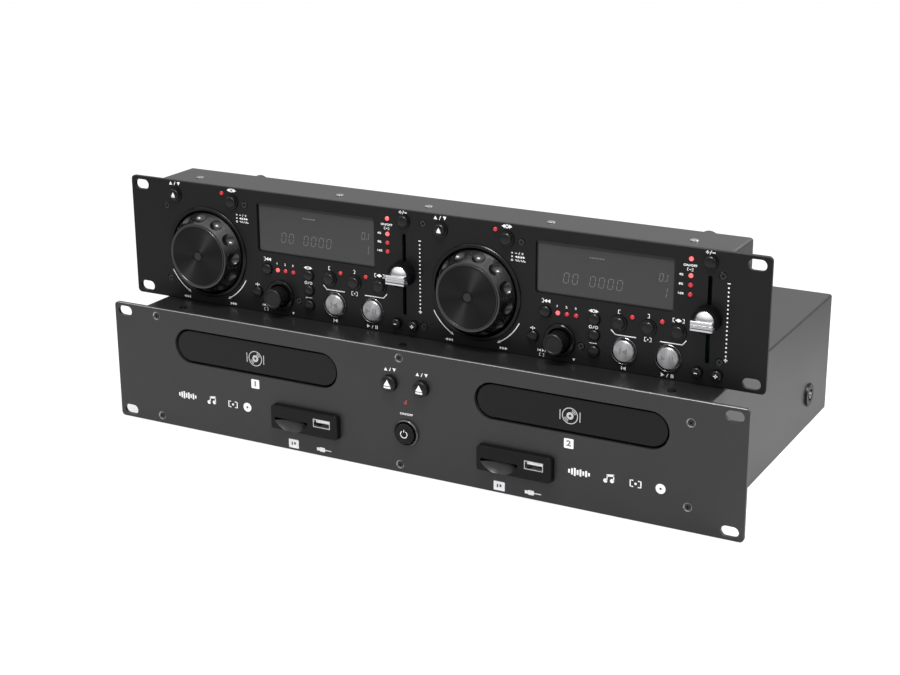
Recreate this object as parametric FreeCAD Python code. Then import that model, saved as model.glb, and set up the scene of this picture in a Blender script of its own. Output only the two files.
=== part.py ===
import FreeCAD, Part
import math
import os
from collections import namedtuple

# A twin disc player for disc jockeys: two rack-width housings, one on the other.
# The player below holds two disc drives with motor trays, two card-and-memory
# ports and the power button. The shallow controller above holds, for each deck,
# a jog wheel, a display window, a track knob, a pitch fader and fifteen buttons.
# Millimetres, +X to the right, +Y to the back, +Z up. The origin is the centre
# of the footprint, on the surface that the player stands on.

# ---------------------------------------------------------------- rack panels
PANEL_WIDTH = 482.6
PANEL_HEIGHT = 88.1
PANEL_THICKNESS = 2.5
PANEL_CORNER = 3.0
PANEL_BEVEL = 0.4
RACK_SLOT_INSET_X = 9.3
RACK_SLOT_INSET_Z = 5.95
RACK_SLOT_LENGTH = 12.0
RACK_SLOT_WIDTH = 7.2

# ------------------------------------------------------------------- housings
PLAYER_WIDTH = 430.0
CONTROLLER_WIDTH = 432.0
PLAYER_DEPTH = 256.0
CONTROLLER_DEPTH = 38.0
CONTROLLER_SETBACK = 28.0
SHEET = 1.2
BEND_RADIUS = 2.0
SIDE_FLANGE_HEIGHT = 34.0
TOP_RETURN_DEPTH = 16.0
COVER_LIFT = 0.3
FRONT_PROUD = 4.5
REAR_PROUD = 9.0

# ------------------------------------------------------------------ clearances
HOLE_GAP = 0.3
RUNNING_GAP = 0.05
SEAT_GAP = 0.1
PORT_GAP = 0.2

# ---------------------------------------------------------------- pressed rings
BEZEL_SPIGOT = 0.7
TRANSPORT_RING_INNER = 8.4
TRANSPORT_RING_OUTER = 9.2
TRANSPORT_RING_PROUD = 0.9
TRANSPORT_SPIGOT = 0.35
POWER_RING_INNER = 7.9
POWER_RING_OUTER = 9.3
POWER_RING_PROUD = 2.0

# ------------------------------------------------------------ buttons and LEDs
FLANGE_LIP = 0.7
FLANGE_THICKNESS = 1.0
FLANGE_GAP = 0.4
STEM_RADIUS = 1.5
STEM_END_GAP = 0.3
LED_RADIUS = 1.5
LED_PROUD = 1.0
SWITCH_SIZE = 6.0
SWITCH_DEPTH = 4.0

# A button's cap stands proud of the panel by a height, with a crown on its face.
# Some have a wider collar round the foot. The hole is the one in the panel.
Style = namedtuple("Style", "cap_radius proud crown collar_radius collar_proud hole_radius travel")
SMALL = Style(3.85, 2.6, 0.5, 3.85, 0.0, 3.85 + HOLE_GAP, 0.8)
NUDGE = Style(3.3, 3.6, 0.3, 3.3, 0.0, 3.3 + HOLE_GAP, 0.8)
COLLARED = Style(4.0, 3.2, 0.3, 5.1, 1.0, 5.1 + HOLE_GAP, 0.8)
PITCH = Style(3.8, 3.0, 0.3, 4.5, 1.0, 4.5 + HOLE_GAP, 0.8)
TRANSPORT_HOLE = TRANSPORT_RING_INNER + TRANSPORT_SPIGOT + SEAT_GAP
TRANSPORT = Style(7.2, 2.2, 0.5, 7.2, 0.0, TRANSPORT_HOLE, 1.2)
EJECT = Style(5.5, FRONT_PROUD, 0.8, 5.5, 0.0, 5.5 + HOLE_GAP, 1.0)
POWER_HOLE = POWER_RING_INNER + BEZEL_SPIGOT + SEAT_GAP
POWER = Style(7.3, 4.0, 0.5, 7.3, 0.0, POWER_HOLE, 2.0)

# Each deck's controls are placed from its jog wheel's axis, in X, and from the
# panel's lower edge, in Z.
DECK_X = (-175.8, 40.6)
JOG_Z = 38.2
BUTTONS = {
    "open_close_button": (-26.3, 77.9, COLLARED),
    "jog_mode_button": (22.7, 77.9, COLLARED),
    "source_button": (50.9, 32.6, SMALL),
    "bpm_button": (42.0, 14.6, SMALL),
    "repeat_button": (85.4, 32.3, SMALL),
    "time_button": (85.4, 21.55, SMALL),
    "single_button": (85.4, 10.8, SMALL),
    "in_button": (102.6, 32.4, COLLARED),
    "out_button": (122.6, 32.4, COLLARED),
    "reloop_button": (142.6, 32.4, COLLARED),
    "cue_button": (106.2, 14.2, TRANSPORT),
    "play_button": (136.3, 14.2, TRANSPORT),
    "pitch_button": (162.0, 80.4, PITCH),
    "minus_button": (156.0, 8.3, NUDGE),
    "plus_button": (169.1, 8.3, NUDGE),
}
DECK_LEDS = (
    (14.2, 83.2),
    (59.6, 32.8),
    (66.1, 32.8),
    (72.6, 32.8),
    (111.4, 37.5),
    (131.6, 37.5),
    (149.2, 80.7),
    (149.3, 70.0),
    (149.3, 63.9),
    (149.3, 57.8),
)
DECK_SCREWS = ((32.8, 76.6), (76.2, 12.7))
END_SCREW_X = CONTROLLER_WIDTH / 2 - 5.4
END_SCREWS = (
    (-END_SCREW_X, 68.7),
    (-END_SCREW_X, 14.5),
    (0.7, 80.3),
    (0.7, 8.7),
    (END_SCREW_X, 72.2),
    (END_SCREW_X, 16.6),
)

# -------------------------------------------------------------- display window
WINDOW_LEFT = 43.2
WINDOW_RIGHT = 138.6
WINDOW_BOTTOM = 44.5
WINDOW_TOP = 79.5
WINDOW_CORNER = 2.0
WINDOW_RECESS = 1.5
WINDOW_EDGE = 2.0
WINDOW_EDGE_THICKNESS = 1.5

# ------------------------------------------------------------------- jog wheel
JOG_RADIUS = 29.3
JOG_SLOPE_RUN = 5.7
JOG_TOP_RADIUS = JOG_RADIUS - JOG_SLOPE_RUN
JOG_HEIGHT = 12.3
JOG_SKIRT = 1.0
JOG_DISC_RADIUS = JOG_TOP_RADIUS - 1.3
JOG_DISC_THICKNESS = 1.4
JOG_WALL = 4.0
JOG_LEDGE = 1.5
JOG_FLOOR_FRONT = 1.5
JOG_FLOOR_BACK = 4.0
JOG_BOSS_RADIUS = 6.0
JOG_HUB_MARK_RADIUS = 4.25
DIMPLE_COUNT = 12
DIMPLE_RADIUS = 4.7
DIMPLE_DEPTH = 2.2
DECK_DIMPLE_ANGLE = (0.5, 18.5)
BEZEL_INNER_RADIUS = JOG_RADIUS + 1.1
BEZEL_OUTER_RADIUS = BEZEL_INNER_RADIUS + 2.7
BEZEL_PROUD = 1.3
SHAFT_RADIUS = 3.0
SHAFT_END = 20.5

# ------------------------------------------------------------------ track knob
KNOB_X = 61.3
KNOB_Z = 14.6
KNOB_RADIUS = 7.3
KNOB_FRONT_RADIUS = 7.0
KNOB_HEIGHT = 11.5
KNOB_FOOT = 0.6
KNOB_RIBS = 24
KNOB_GROOVE = 0.45
KNOB_COLLAR_INNER = 8.0
KNOB_COLLAR_OUTER = 11.1
KNOB_COLLAR_PROUD = 2.0

# ----------------------------------------------------------------- pitch fader
FADER_X = 161.9
FADER_Z = 43.15
FADER_SLOT_WIDTH = 2.8
FADER_SLOT_LENGTH = 57.0
FADER_REST = 1.2
FADER_TRAVEL = 23.0
FADER_SKIRT_RADIUS = 9.0
FADER_CAP_RADIUS = 8.4
FADER_DOME_RADIUS = 6.4
FADER_LIFT = 1.2
FADER_SKIRT_TOP = 8.5
FADER_DOME_TOP = 11.5
FADER_BAR_WIDTH = 14.5
FADER_BAR_HEIGHT = 6.5
FADER_BAR_DROP = 2.1
FADER_BAR_TOP = 13.5
FADER_BAR_GROOVE = 0.8
FADER_LEVER_WIDTH = 1.2
FADER_LEVER_HEIGHT = 6.0
FADER_LEVER_END = 18.0
FADER_PLAYER_WIDTH = 10.0
FADER_BODY_FRONT = 13.0
FADER_BODY_GAP = 0.4

# ---------------------------------------------------------- controller's board
BOARD_FRONT = 22.0
BOARD_THICKNESS = 1.6
BOARD_WIDTH = CONTROLLER_WIDTH - 6.0
BOARD_LOW = 3.5
BOARD_HIGH = PANEL_HEIGHT - 6.1
ENCODER_RADIUS = 6.5
ENCODER_FRONT = 15.0
PILLAR_RADIUS = 2.5
LINK_SOCKET_X = (-162.0, 183.0)
LINK_SOCKET_Z = PANEL_HEIGHT - 9.6
LINK_SOCKET_RADIUS = 7.5
LINK_SOCKET_BORE = 5.2
LINK_SOCKET_DEPTH = 8.0
LINK_SOCKET_PROUD = 12.0
CONTROLLER_TOP_SCREWS_X = (-190.8, -73.0, -3.0, 87.5, 185.5)
CONTROLLER_TOP_SCREW_Y = 15.0
LUG_WIDTH = 7.0
LUG_DROP = 5.1
LUG_DEPTH = 20.0

# ---------------------------------------------------------------------- screws
SCREW_HEAD_RADIUS = 3.0
SCREW_SHANK_RADIUS = 1.5
SCREW_RECESS = 0.4
SCREW_HEAD_DEPTH = 1.5
SCREW_REACH = 8.0
COVER_SCREW_HEAD_RADIUS = 2.8
COVER_SCREW_HEAD = 0.6
COVER_SCREW_REACH = 5.0
CUP_RADIUS = 8.8
CUP_THICKNESS = 1.6

# ------------------------------------------------------------ the player's face
PLAYER_SCREW_X = PLAYER_WIDTH / 2 - 11.0
PLAYER_SCREWS = (
    (-PLAYER_SCREW_X, 82.2),
    (-PLAYER_SCREW_X, 5.8),
    (-3.1, 82.2),
    (-3.1, 5.8),
    (PLAYER_SCREW_X, 73.0),
    (PLAYER_SCREW_X, 16.6),
)
EJECT_PLACES = ((-9.9, 63.6), (14.5, 63.6))
POWER_PLACE = (2.4, 29.9)
PLAYER_LED_PLACE = (2.2, 51.4)
BUTTON_BOARD_FRONT = 18.0

# ---------------------------------------------------------------- trays, drives
TRAY_X = (-119.9, 122.1)
TRAY_Z = 63.5
TRAY_OPENING_WIDTH = 136.6
TRAY_OPENING_HEIGHT = 25.8
TRAY_FRONT_GAP = 1.4
TRAY_FRONT_RECESS = 1.2
TRAY_FRONT_THICKNESS = 4.0
TRAY_WIDTH = 130.0
TRAY_LENGTH = 155.0
TRAY_TOP = 63.0
TRAY_THICKNESS = 7.0
TRAY_RIB = 1.6
DISC_RECESS_RADIUS = 60.5
DISC_RECESS_DEPTH = 3.0
DISC_CENTRE_Y = 71.0
SMALL_DISC_RADIUS = 40.5
SMALL_DISC_DEPTH = 0.8
HUB_SLOT_WIDTH = 38.0
HUB_SLOT_LENGTH = 76.0
DRIVE_WALL = 3.0
DRIVE_FRONT = 8.0
DRIVE_BACK = 182.0
DRIVE_FLOOR = 44.0
DRIVE_FLOOR_THICKNESS = 2.5
DRIVE_TOP = 80.0
DRIVE_SIDE_GAP = 0.6
GUIDE_GAP = 0.3
GUIDE_REACH = 5.0
GUIDE_THICKNESS = 2.0
DRIVE_POST_RADIUS = 4.0
DRIVE_POST_INSET = 6.0
DRIVE_POST_FRONT = 34.0
DRIVE_POST_BACK = 168.0
HUB_RADIUS = 14.0
HUB_SPIGOT_RADIUS = 7.4
HUB_TOP = 54.5
PUCK_RADIUS = 15.0
PUCK_BOTTOM = 68.0
PUCK_TOP = 71.0
BRIDGE_WIDTH = 26.0
BRIDGE_THICKNESS = 3.0

# ------------------------------------------------------------------ media ports
PORT_LEFT = (-104.9, 57.4)
PORT_WIDTH = 54.6
PORT_BOTTOM = 15.2
PORT_HEIGHT = 17.8
PORT_CORNER = 2.5
PORT_BACK = 26.0
PORT_FLANGE = 2.0
CARD_SLOT_FROM_LEFT = 3.2
CARD_SLOT_WIDTH = 27.0
CARD_SLOT_HEIGHT = 2.4
CARD_SLOT_Z = 23.2
CARD_SLOT_DEPTH = 25.0
SCOOP_DROP = 7.0
SCOOP_SPHERE = 22.0
USB_FROM_LEFT = 35.2
USB_WIDTH = 13.6
USB_HEIGHT = 6.0
USB_Z = 25.7
USB_WALL = 0.5
USB_DEPTH = 14.0
USB_TONGUE_HEIGHT = 1.9

# ------------------------------------------------------------------ rear sockets
PHONO_X = (64.0, 80.0, 112.0)
PHONO_Z = (30.0, 48.0)
PHONO_RADIUS = 4.15
PHONO_BORE = 3.2
PHONO_PIN_RADIUS = 1.5
PHONO_BASE_RADIUS = 6.0
PHONO_BASE_PROUD = 1.0
PLAYER_LINK_X = (-20.0, 22.0)
PLAYER_LINK_Z = 38.0
PLAYER_LINK_PROUD = 2.0
MAINS_X = -160.0
MAINS_Z = 40.0
MAINS_WIDTH = 30.0
MAINS_HEIGHT = 22.0
MAINS_WALL = 2.5
MAINS_DEPTH = 17.0
MAINS_PROUD = 2.0
MAINS_PIN_WIDTH = 2.0
MAINS_PIN_HEIGHT = 4.0
MAINS_PINS = ((-7.0, 2.0), (7.0, 2.0), (0.0, -2.0))
MAINS_PIN_SHY = 3.0
SOCKET_REACH = 12.0
SOCKET_FLANGE = 1.5

# ------------------------------------------------------------- player's boards
MAIN_BOARD_X = (-44.0, 46.0)
MAIN_BOARD_Y = (34.0, PLAYER_DEPTH - 18.0)
MAIN_BOARD_Z = 9.0
STANDOFF_RADIUS = 3.0
STANDOFF_INSET = 6.0
TRANSFORMER_Y = (PLAYER_DEPTH - 106.0, PLAYER_DEPTH - 60.0)
TRANSFORMER_X = (-24.0, 26.0)
TRANSFORMER_HEIGHT = 40.0
BUTTON_BOARD_X = (-22.0, 27.0)
BUTTON_BOARD_Z = (SHEET, 76.0)

# --------------------------------------------------------------- cover fasteners
PLAYER_TOP_SCREWS_X = (28.0 - PLAYER_WIDTH / 2, -5.4, PLAYER_WIDTH / 2 - 28.0)
PLAYER_TOP_SCREW_Y = 9.7
SIDE_SCREWS_Y = (40.0, PLAYER_DEPTH - 45.0)
SIDE_SCREW_Z = 24.6

# ------------------------------------------------------------- where units stand
FACE_Y = (FRONT_PROUD - PLAYER_DEPTH - REAR_PROUD) / 2
PLAYER_AT = FreeCAD.Vector(0, FACE_Y, 0)
CONTROLLER_AT = FreeCAD.Vector(0, FACE_Y + CONTROLLER_SETBACK, PANEL_HEIGHT)
REAR_INNER = PLAYER_DEPTH - SHEET


# ------------------------------------------------------------------- primitives
def vec(x, y, z):
    return FreeCAD.Vector(x, y, z)


def box(x, y, z):
    """A block between the low and high values given for each axis."""
    return Part.makeBox(x[1] - x[0], y[1] - y[0], z[1] - z[0], vec(x[0], y[0], z[0]))


def rod(x, z, radius, y):
    """A cylinder along Y, from y[0] to y[1]."""
    return Part.makeCylinder(radius, y[1] - y[0], vec(x, y[0], z), vec(0, 1, 0))


def post(x, y, radius, z):
    """A cylinder along Z, from z[0] to z[1]."""
    return Part.makeCylinder(radius, z[1] - z[0], vec(x, y, z[0]), vec(0, 0, 1))


def turned(x, z, outline, arcs=()):
    """Turn an outline of (radius, y) points about the Y line through (x, z).

    A point whose index is in arcs is the middle point of an arc."""
    points = [vec(x + radius, y, z) for radius, y in outline]
    points.append(points[0])
    edges = []
    at = 0
    while at < len(points) - 1:
        if at + 1 in arcs:
            edges.append(Part.Arc(points[at], points[at + 1], points[at + 2]).toShape())
            at += 2
        else:
            edges.append(Part.makeLine(points[at], points[at + 1]))
            at += 1
    solid = Part.Face(Part.Wire(edges)).revolve(vec(x, 0, z), vec(0, 1, 0), 360)
    return solid if solid.Volume > 0 else solid.reversed()


def rounded(x, z, width, height, radius, y):
    """A plate across Y, centred on (x, z), with rounded corners."""
    edges = []
    ends = []
    for quarter in range(4):
        start = math.radians(90 * quarter)
        side = 1 if quarter in (0, 3) else -1
        rise = 1 if quarter in (0, 1) else -1
        centre_x = x + side * (width / 2 - radius)
        centre_z = z + rise * (height / 2 - radius)
        spots = []
        for part in (0, math.pi / 4, math.pi / 2):
            angle = start + part
            spots.append(vec(centre_x + radius * math.cos(angle), y[0], centre_z + radius * math.sin(angle)))
        edges.append(Part.Arc(*spots).toShape())
        ends.append((spots[0], spots[2]))
    for quarter in range(4):
        leave = ends[quarter][1]
        arrive = ends[(quarter + 1) % 4][0]
        if leave.distanceToPoint(arrive) > 1e-6:
            edges.append(Part.makeLine(leave, arrive))
    wire = Part.Wire(Part.__sortEdges__(edges))
    return Part.Face(wire).extrude(vec(0, y[1] - y[0], 0))


def joined(pieces):
    """One solid from pieces that touch or overlap."""
    whole = pieces[0].fuse(pieces[1:]) if len(pieces) > 1 else pieces[0]
    return whole.removeSplitter()


def group(solids):
    """Separate solids that share a node."""
    return Part.makeCompound(solids)


def deck_places(places):
    """The same places on both decks, in panel coordinates."""
    return [(deck_x + x, z) for deck_x in DECK_X for x, z in places]


# ------------------------------------------------------------- shared features
def rack_slots(y):
    slots = []
    for side in (-1, 1):
        for rise in (-1, 1):
            slot_x = side * (PANEL_WIDTH / 2 - RACK_SLOT_INSET_X)
            slot_z = PANEL_HEIGHT / 2 + rise * (PANEL_HEIGHT / 2 - RACK_SLOT_INSET_Z)
            slots.append(rounded(slot_x, slot_z, RACK_SLOT_LENGTH, RACK_SLOT_WIDTH, RACK_SLOT_WIDTH / 2, y))
    return slots


def panel_blank():
    """A rack panel with rounded corners, a bevelled front rim and its four slots."""
    y = (0, PANEL_THICKNESS)
    plate = rounded(0, PANEL_HEIGHT / 2, PANEL_WIDTH, PANEL_HEIGHT, PANEL_CORNER, y)
    rim = [edge for edge in plate.Edges if edge.BoundBox.YMax < PANEL_THICKNESS / 2]
    return plate.makeChamfer(PANEL_BEVEL, rim).cut(rack_slots((-1, PANEL_THICKNESS + 1)))


def hole(x, z, radius, y=(-1, PANEL_THICKNESS + 1)):
    return rod(x, z, radius, y)


def screw_seat(x, z):
    """The countersunk hole that a panel screw sits in: its cone is the screw head's own."""
    clear = SCREW_SHANK_RADIUS + SEAT_GAP
    share = (SCREW_HEAD_RADIUS - clear) / (SCREW_HEAD_RADIUS - SCREW_SHANK_RADIUS)
    outline = [
        (0, -1),
        (SCREW_HEAD_RADIUS, -1),
        (SCREW_HEAD_RADIUS, SCREW_RECESS),
        (clear, SCREW_RECESS + SCREW_HEAD_DEPTH * share),
        (clear, PANEL_THICKNESS + 1),
        (0, PANEL_THICKNESS + 1),
    ]
    return turned(x, z, outline)


def panel_screw(x, z):
    """A countersunk screw whose head lies just under the panel's face."""
    cone_end = SCREW_RECESS + SCREW_HEAD_DEPTH
    outline = [
        (0, SCREW_RECESS),
        (SCREW_HEAD_RADIUS, SCREW_RECESS),
        (SCREW_SHANK_RADIUS, cone_end),
        (SCREW_SHANK_RADIUS, SCREW_REACH),
        (0, SCREW_REACH),
    ]
    return turned(x, z, outline)


def top_screw(x, y, z):
    """A pan-head screw standing on a top cover at height z."""
    head = post(x, y, COVER_SCREW_HEAD_RADIUS, (z, z + COVER_SCREW_HEAD))
    rim = [edge for edge in head.Edges if edge.BoundBox.ZMin > z + COVER_SCREW_HEAD / 2 and edge.Closed]
    head = head.makeFillet(COVER_SCREW_HEAD / 2, rim)
    return head.fuse(post(x, y, SCREW_SHANK_RADIUS, (z - COVER_SCREW_REACH, z)))


def button_outline(style, stem_end):
    """A push button: a crowned cap, its collar, the flange that holds it in, and the stem."""
    cap = style.cap_radius
    front = -style.proud
    edge = min(0.6, style.proud / 3)
    shoulder = front + style.crown
    flange_front = PANEL_THICKNESS + FLANGE_GAP
    flange_radius = style.hole_radius + FLANGE_LIP
    outline = [
        (0, front),
        (cap / 2, front + style.crown / 4),
        (cap - edge, shoulder),
        (cap, shoulder + edge),
        (cap, -style.collar_proud),
        (style.collar_radius, -style.collar_proud),
        (style.collar_radius, flange_front),
        (flange_radius, flange_front),
        (flange_radius, flange_front + FLANGE_THICKNESS),
        (STEM_RADIUS, flange_front + FLANGE_THICKNESS),
        (STEM_RADIUS, stem_end),
        (0, stem_end),
    ]
    if style.collar_radius == cap:
        del outline[4:6]
    return outline


def button(x, z, style, board_front):
    """A button whose stem stops just short of its switch at full travel."""
    stem_end = board_front - SWITCH_DEPTH - style.travel - STEM_END_GAP
    return turned(x, z, button_outline(style, stem_end), arcs=(1,))


def led(x, z, back):
    """An indicator with a domed front on a spacer that reaches its board."""
    outline = [
        (0, -LED_PROUD),
        (LED_RADIUS * 0.7, -LED_PROUD * 0.55),
        (LED_RADIUS, 0),
        (LED_RADIUS, back),
        (0, back),
    ]
    return turned(x, z, outline, arcs=(1,))


def switch_body(x, z, board_front):
    half = SWITCH_SIZE / 2
    return box((x - half, x + half), (board_front - SWITCH_DEPTH, board_front), (z - half, z + half))


def ring(x, z, inner, outer, proud, spigot):
    """A bezel with a bevelled face and a spigot that locates it in the panel's hole."""
    bevel = min(proud, outer - inner) / 3
    outline = [
        (inner, -proud + bevel),
        (inner + bevel, -proud),
        (outer - bevel, -proud),
        (outer, -proud + bevel),
        (outer, 0),
        (inner + spigot, 0),
        (inner + spigot, PANEL_THICKNESS),
        (inner, PANEL_THICKNESS),
    ]
    return turned(x, z, outline)


# ------------------------------------------------------------------ controller
def controller_front_panel():
    """The controller's face, with every opening and the lugs that its top screws into."""
    cuts = [screw_seat(x, z) for x, z in deck_places(DECK_SCREWS) + list(END_SCREWS)]
    for deck_x in DECK_X:
        cuts += [hole(deck_x + x, z, style.hole_radius) for x, z, style in BUTTONS.values()]
        cuts.append(hole(deck_x, JOG_Z, BEZEL_INNER_RADIUS + BEZEL_SPIGOT + SEAT_GAP))
        cuts.append(hole(deck_x + KNOB_X, KNOB_Z, KNOB_COLLAR_INNER + BEZEL_SPIGOT + SEAT_GAP))
        cuts.append(window_block(deck_x, (-1, PANEL_THICKNESS + 1), 0))
        slot_place = (deck_x + FADER_X, FADER_Z, FADER_SLOT_WIDTH, FADER_SLOT_LENGTH, FADER_SLOT_WIDTH / 2)
        cuts.append(rounded(*slot_place, (-1, PANEL_THICKNESS + 1)))
    cuts += [hole(x, z, LED_RADIUS + SEAT_GAP) for x, z in deck_places(DECK_LEDS)]
    panel = panel_blank().cut(cuts)
    return joined([panel] + [top_lug(x) for x in CONTROLLER_TOP_SCREWS_X])


def top_lug(x):
    """A tapped lug behind the panel's top edge, under the case."""
    z = (PANEL_HEIGHT - LUG_DROP, PANEL_HEIGHT - SHEET)
    half = LUG_WIDTH / 2
    lug = box((x - half, x + half), (PANEL_THICKNESS, LUG_DEPTH), z)
    return lug.cut(post(x, CONTROLLER_TOP_SCREW_Y, SCREW_SHANK_RADIUS + SEAT_GAP, (z[0] - 1, z[1] + 1)))


def window_block(deck_x, y, grow):
    """The display window's outline across y, grown on every side."""
    width = WINDOW_RIGHT - WINDOW_LEFT
    height = WINDOW_TOP - WINDOW_BOTTOM
    centre_x = deck_x + (WINDOW_LEFT + WINDOW_RIGHT) / 2
    centre_z = (WINDOW_BOTTOM + WINDOW_TOP) / 2
    return rounded(centre_x, centre_z, width + 2 * grow, height + 2 * grow, WINDOW_CORNER + grow, y)


def display_windows():
    """Two clear windows, each stepped so that it locates in its opening from behind."""
    windows = []
    for deck_x in DECK_X:
        front = window_block(deck_x, (WINDOW_RECESS, PANEL_THICKNESS), -SEAT_GAP)
        back_y = (PANEL_THICKNESS, PANEL_THICKNESS + WINDOW_EDGE_THICKNESS)
        windows.append(joined([front, window_block(deck_x, back_y, WINDOW_EDGE)]))
    return group(windows)


def bezel_rings():
    """The rings around both jog wheels, the track knobs and the cue and play buttons."""
    rings = []
    for deck_x in DECK_X:
        rings.append(ring(deck_x, JOG_Z, BEZEL_INNER_RADIUS, BEZEL_OUTER_RADIUS, BEZEL_PROUD, BEZEL_SPIGOT))
        knob_sizes = (KNOB_COLLAR_INNER, KNOB_COLLAR_OUTER, KNOB_COLLAR_PROUD, BEZEL_SPIGOT)
        rings.append(ring(deck_x + KNOB_X, KNOB_Z, *knob_sizes))
        ring_sizes = (TRANSPORT_RING_INNER, TRANSPORT_RING_OUTER, TRANSPORT_RING_PROUD, TRANSPORT_SPIGOT)
        for name in ("cue_button", "play_button"):
            x, z, _ = BUTTONS[name]
            rings.append(ring(deck_x + x, z, *ring_sizes))
    return group(rings)


def sheet_tube(y):
    """The walls of the controller's case: a folded band around all four sides."""
    outer = rounded(0, PANEL_HEIGHT / 2, CONTROLLER_WIDTH, PANEL_HEIGHT, BEND_RADIUS, y)
    inner_width = CONTROLLER_WIDTH - 2 * SHEET
    inner_height = PANEL_HEIGHT - 2 * SHEET
    inner_y = (y[0] - 1, y[1] + 1)
    return outer.cut(rounded(0, PANEL_HEIGHT / 2, inner_width, inner_height, BEND_RADIUS - SHEET, inner_y))


def controller_case():
    """The shallow sheet-metal case behind the controller's panel."""
    walls = sheet_tube((PANEL_THICKNESS, CONTROLLER_DEPTH))
    back_y = (CONTROLLER_DEPTH - SHEET, CONTROLLER_DEPTH)
    back = rounded(0, PANEL_HEIGHT / 2, CONTROLLER_WIDTH, PANEL_HEIGHT, BEND_RADIUS, back_y)
    case = joined([walls, back])
    reach = (CONTROLLER_DEPTH - SHEET - 1, CONTROLLER_DEPTH + 1)
    cuts = [rod(x, LINK_SOCKET_Z, LINK_SOCKET_RADIUS + SEAT_GAP, reach) for x in LINK_SOCKET_X]
    for x in CONTROLLER_TOP_SCREWS_X:
        span = (PANEL_HEIGHT - SHEET - 1, PANEL_HEIGHT + 1)
        cuts.append(post(x, CONTROLLER_TOP_SCREW_Y, SCREW_SHANK_RADIUS + SEAT_GAP, span))
    return case.cut(cuts)


def encoder(x, z):
    """A rotary encoder: a round body with the bush that carries its shaft."""
    body = rod(x, z, ENCODER_RADIUS, (ENCODER_FRONT, BOARD_FRONT))
    return body.cut(rod(x, z, SHAFT_RADIUS + RUNNING_GAP, (ENCODER_FRONT - 1, BOARD_FRONT - 1)))


def fader_body(deck_x):
    """The slide potentiometer, open along its front for the lever."""
    x = deck_x + FADER_X
    half = FADER_PLAYER_WIDTH / 2
    run = FADER_TRAVEL + FADER_LEVER_HEIGHT / 2 + FADER_BODY_GAP
    span = run + 4
    body = box((x - half, x + half), (FADER_BODY_FRONT, BOARD_FRONT), (FADER_Z - span, FADER_Z + span))
    gap = FADER_LEVER_WIDTH / 2 + FADER_BODY_GAP
    channel_y = (FADER_BODY_FRONT - 1, FADER_LEVER_END + FADER_BODY_GAP)
    return body.cut(box((x - gap, x + gap), channel_y, (FADER_Z - run, FADER_Z + run)))


def pillar(x, z):
    """A tapped pillar between the board and the panel, which takes a panel screw."""
    body = rod(x, z, PILLAR_RADIUS, (PANEL_THICKNESS, BOARD_FRONT))
    return body.cut(rod(x, z, SCREW_SHANK_RADIUS + SEAT_GAP, (PANEL_THICKNESS - 1, SCREW_REACH + 1)))


def link_socket(x, z, y):
    """A round multi-pin socket for the link cable, open to the back."""
    body = rod(x, z, LINK_SOCKET_RADIUS, y)
    return body.cut(rod(x, z, LINK_SOCKET_BORE, (y[1] - LINK_SOCKET_DEPTH, y[1] + 1)))


def controller_board():
    """The circuit board with its switches, encoders, faders, indicators and pillars."""
    half = BOARD_WIDTH / 2
    parts = [box((-half, half), (BOARD_FRONT, BOARD_FRONT + BOARD_THICKNESS), (BOARD_LOW, BOARD_HIGH))]
    for deck_x in DECK_X:
        parts += [switch_body(deck_x + x, z, BOARD_FRONT) for x, z, _ in BUTTONS.values()]
        parts.append(encoder(deck_x, JOG_Z))
        parts.append(encoder(deck_x + KNOB_X, KNOB_Z))
        parts.append(fader_body(deck_x))
    parts += [pillar(x, z) for x, z in deck_places(DECK_SCREWS) + list(END_SCREWS)]
    parts += [led(x, z, BOARD_FRONT) for x, z in deck_places(DECK_LEDS)]
    return joined(parts)


def link_sockets():
    """The controller's two link sockets, which stand on the board and pass through the case."""
    y = (BOARD_FRONT + BOARD_THICKNESS, CONTROLLER_DEPTH + LINK_SOCKET_PROUD)
    return group([link_socket(x, LINK_SOCKET_Z, y) for x in LINK_SOCKET_X])


def controller_screws():
    screws = [panel_screw(x, z) for x, z in deck_places(DECK_SCREWS) + list(END_SCREWS)]
    screws += [top_screw(x, CONTROLLER_TOP_SCREW_Y, PANEL_HEIGHT) for x in CONTROLLER_TOP_SCREWS_X]
    return group(screws)


# ------------------------------------------------------------------- jog wheel
def jog_slope():
    """The cone's run in radius, its rise in height, and its length."""
    run = JOG_RADIUS - JOG_TOP_RADIUS
    rise = JOG_HEIGHT - JOG_SKIRT
    return run, rise, math.hypot(run, rise)


def jog_inner_radius(y):
    """The inside of the cone's wall at y, parallel to its outside."""
    run, rise, length = jog_slope()
    return JOG_RADIUS + (y + JOG_SKIRT) * run / rise - JOG_WALL * length / rise


def jog_wheel(deck_x, dimple_angle):
    """A hollow turned cone with finger dimples, a seat for the disc, and its shaft."""
    seat = -JOG_HEIGHT + JOG_DISC_THICKNESS
    seat_radius = JOG_DISC_RADIUS + SEAT_GAP
    outline = [
        (0, seat),
        (JOG_BOSS_RADIUS, seat),
        (JOG_BOSS_RADIUS, JOG_FLOOR_FRONT),
        (jog_inner_radius(JOG_FLOOR_FRONT), JOG_FLOOR_FRONT),
        (jog_inner_radius(seat + JOG_LEDGE), seat + JOG_LEDGE),
        (jog_inner_radius(seat + JOG_LEDGE), seat),
        (seat_radius, seat),
        (seat_radius, -JOG_HEIGHT),
        (JOG_TOP_RADIUS, -JOG_HEIGHT),
        (JOG_RADIUS, -JOG_SKIRT),
        (JOG_RADIUS, JOG_FLOOR_BACK),
        (SHAFT_RADIUS, JOG_FLOOR_BACK),
        (SHAFT_RADIUS, SHAFT_END),
        (0, SHAFT_END),
    ]
    cone = turned(deck_x, JOG_Z, outline)
    return cone.cut([dimple(deck_x, dimple_angle + 360 * i / DIMPLE_COUNT) for i in range(DIMPLE_COUNT)])


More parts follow.
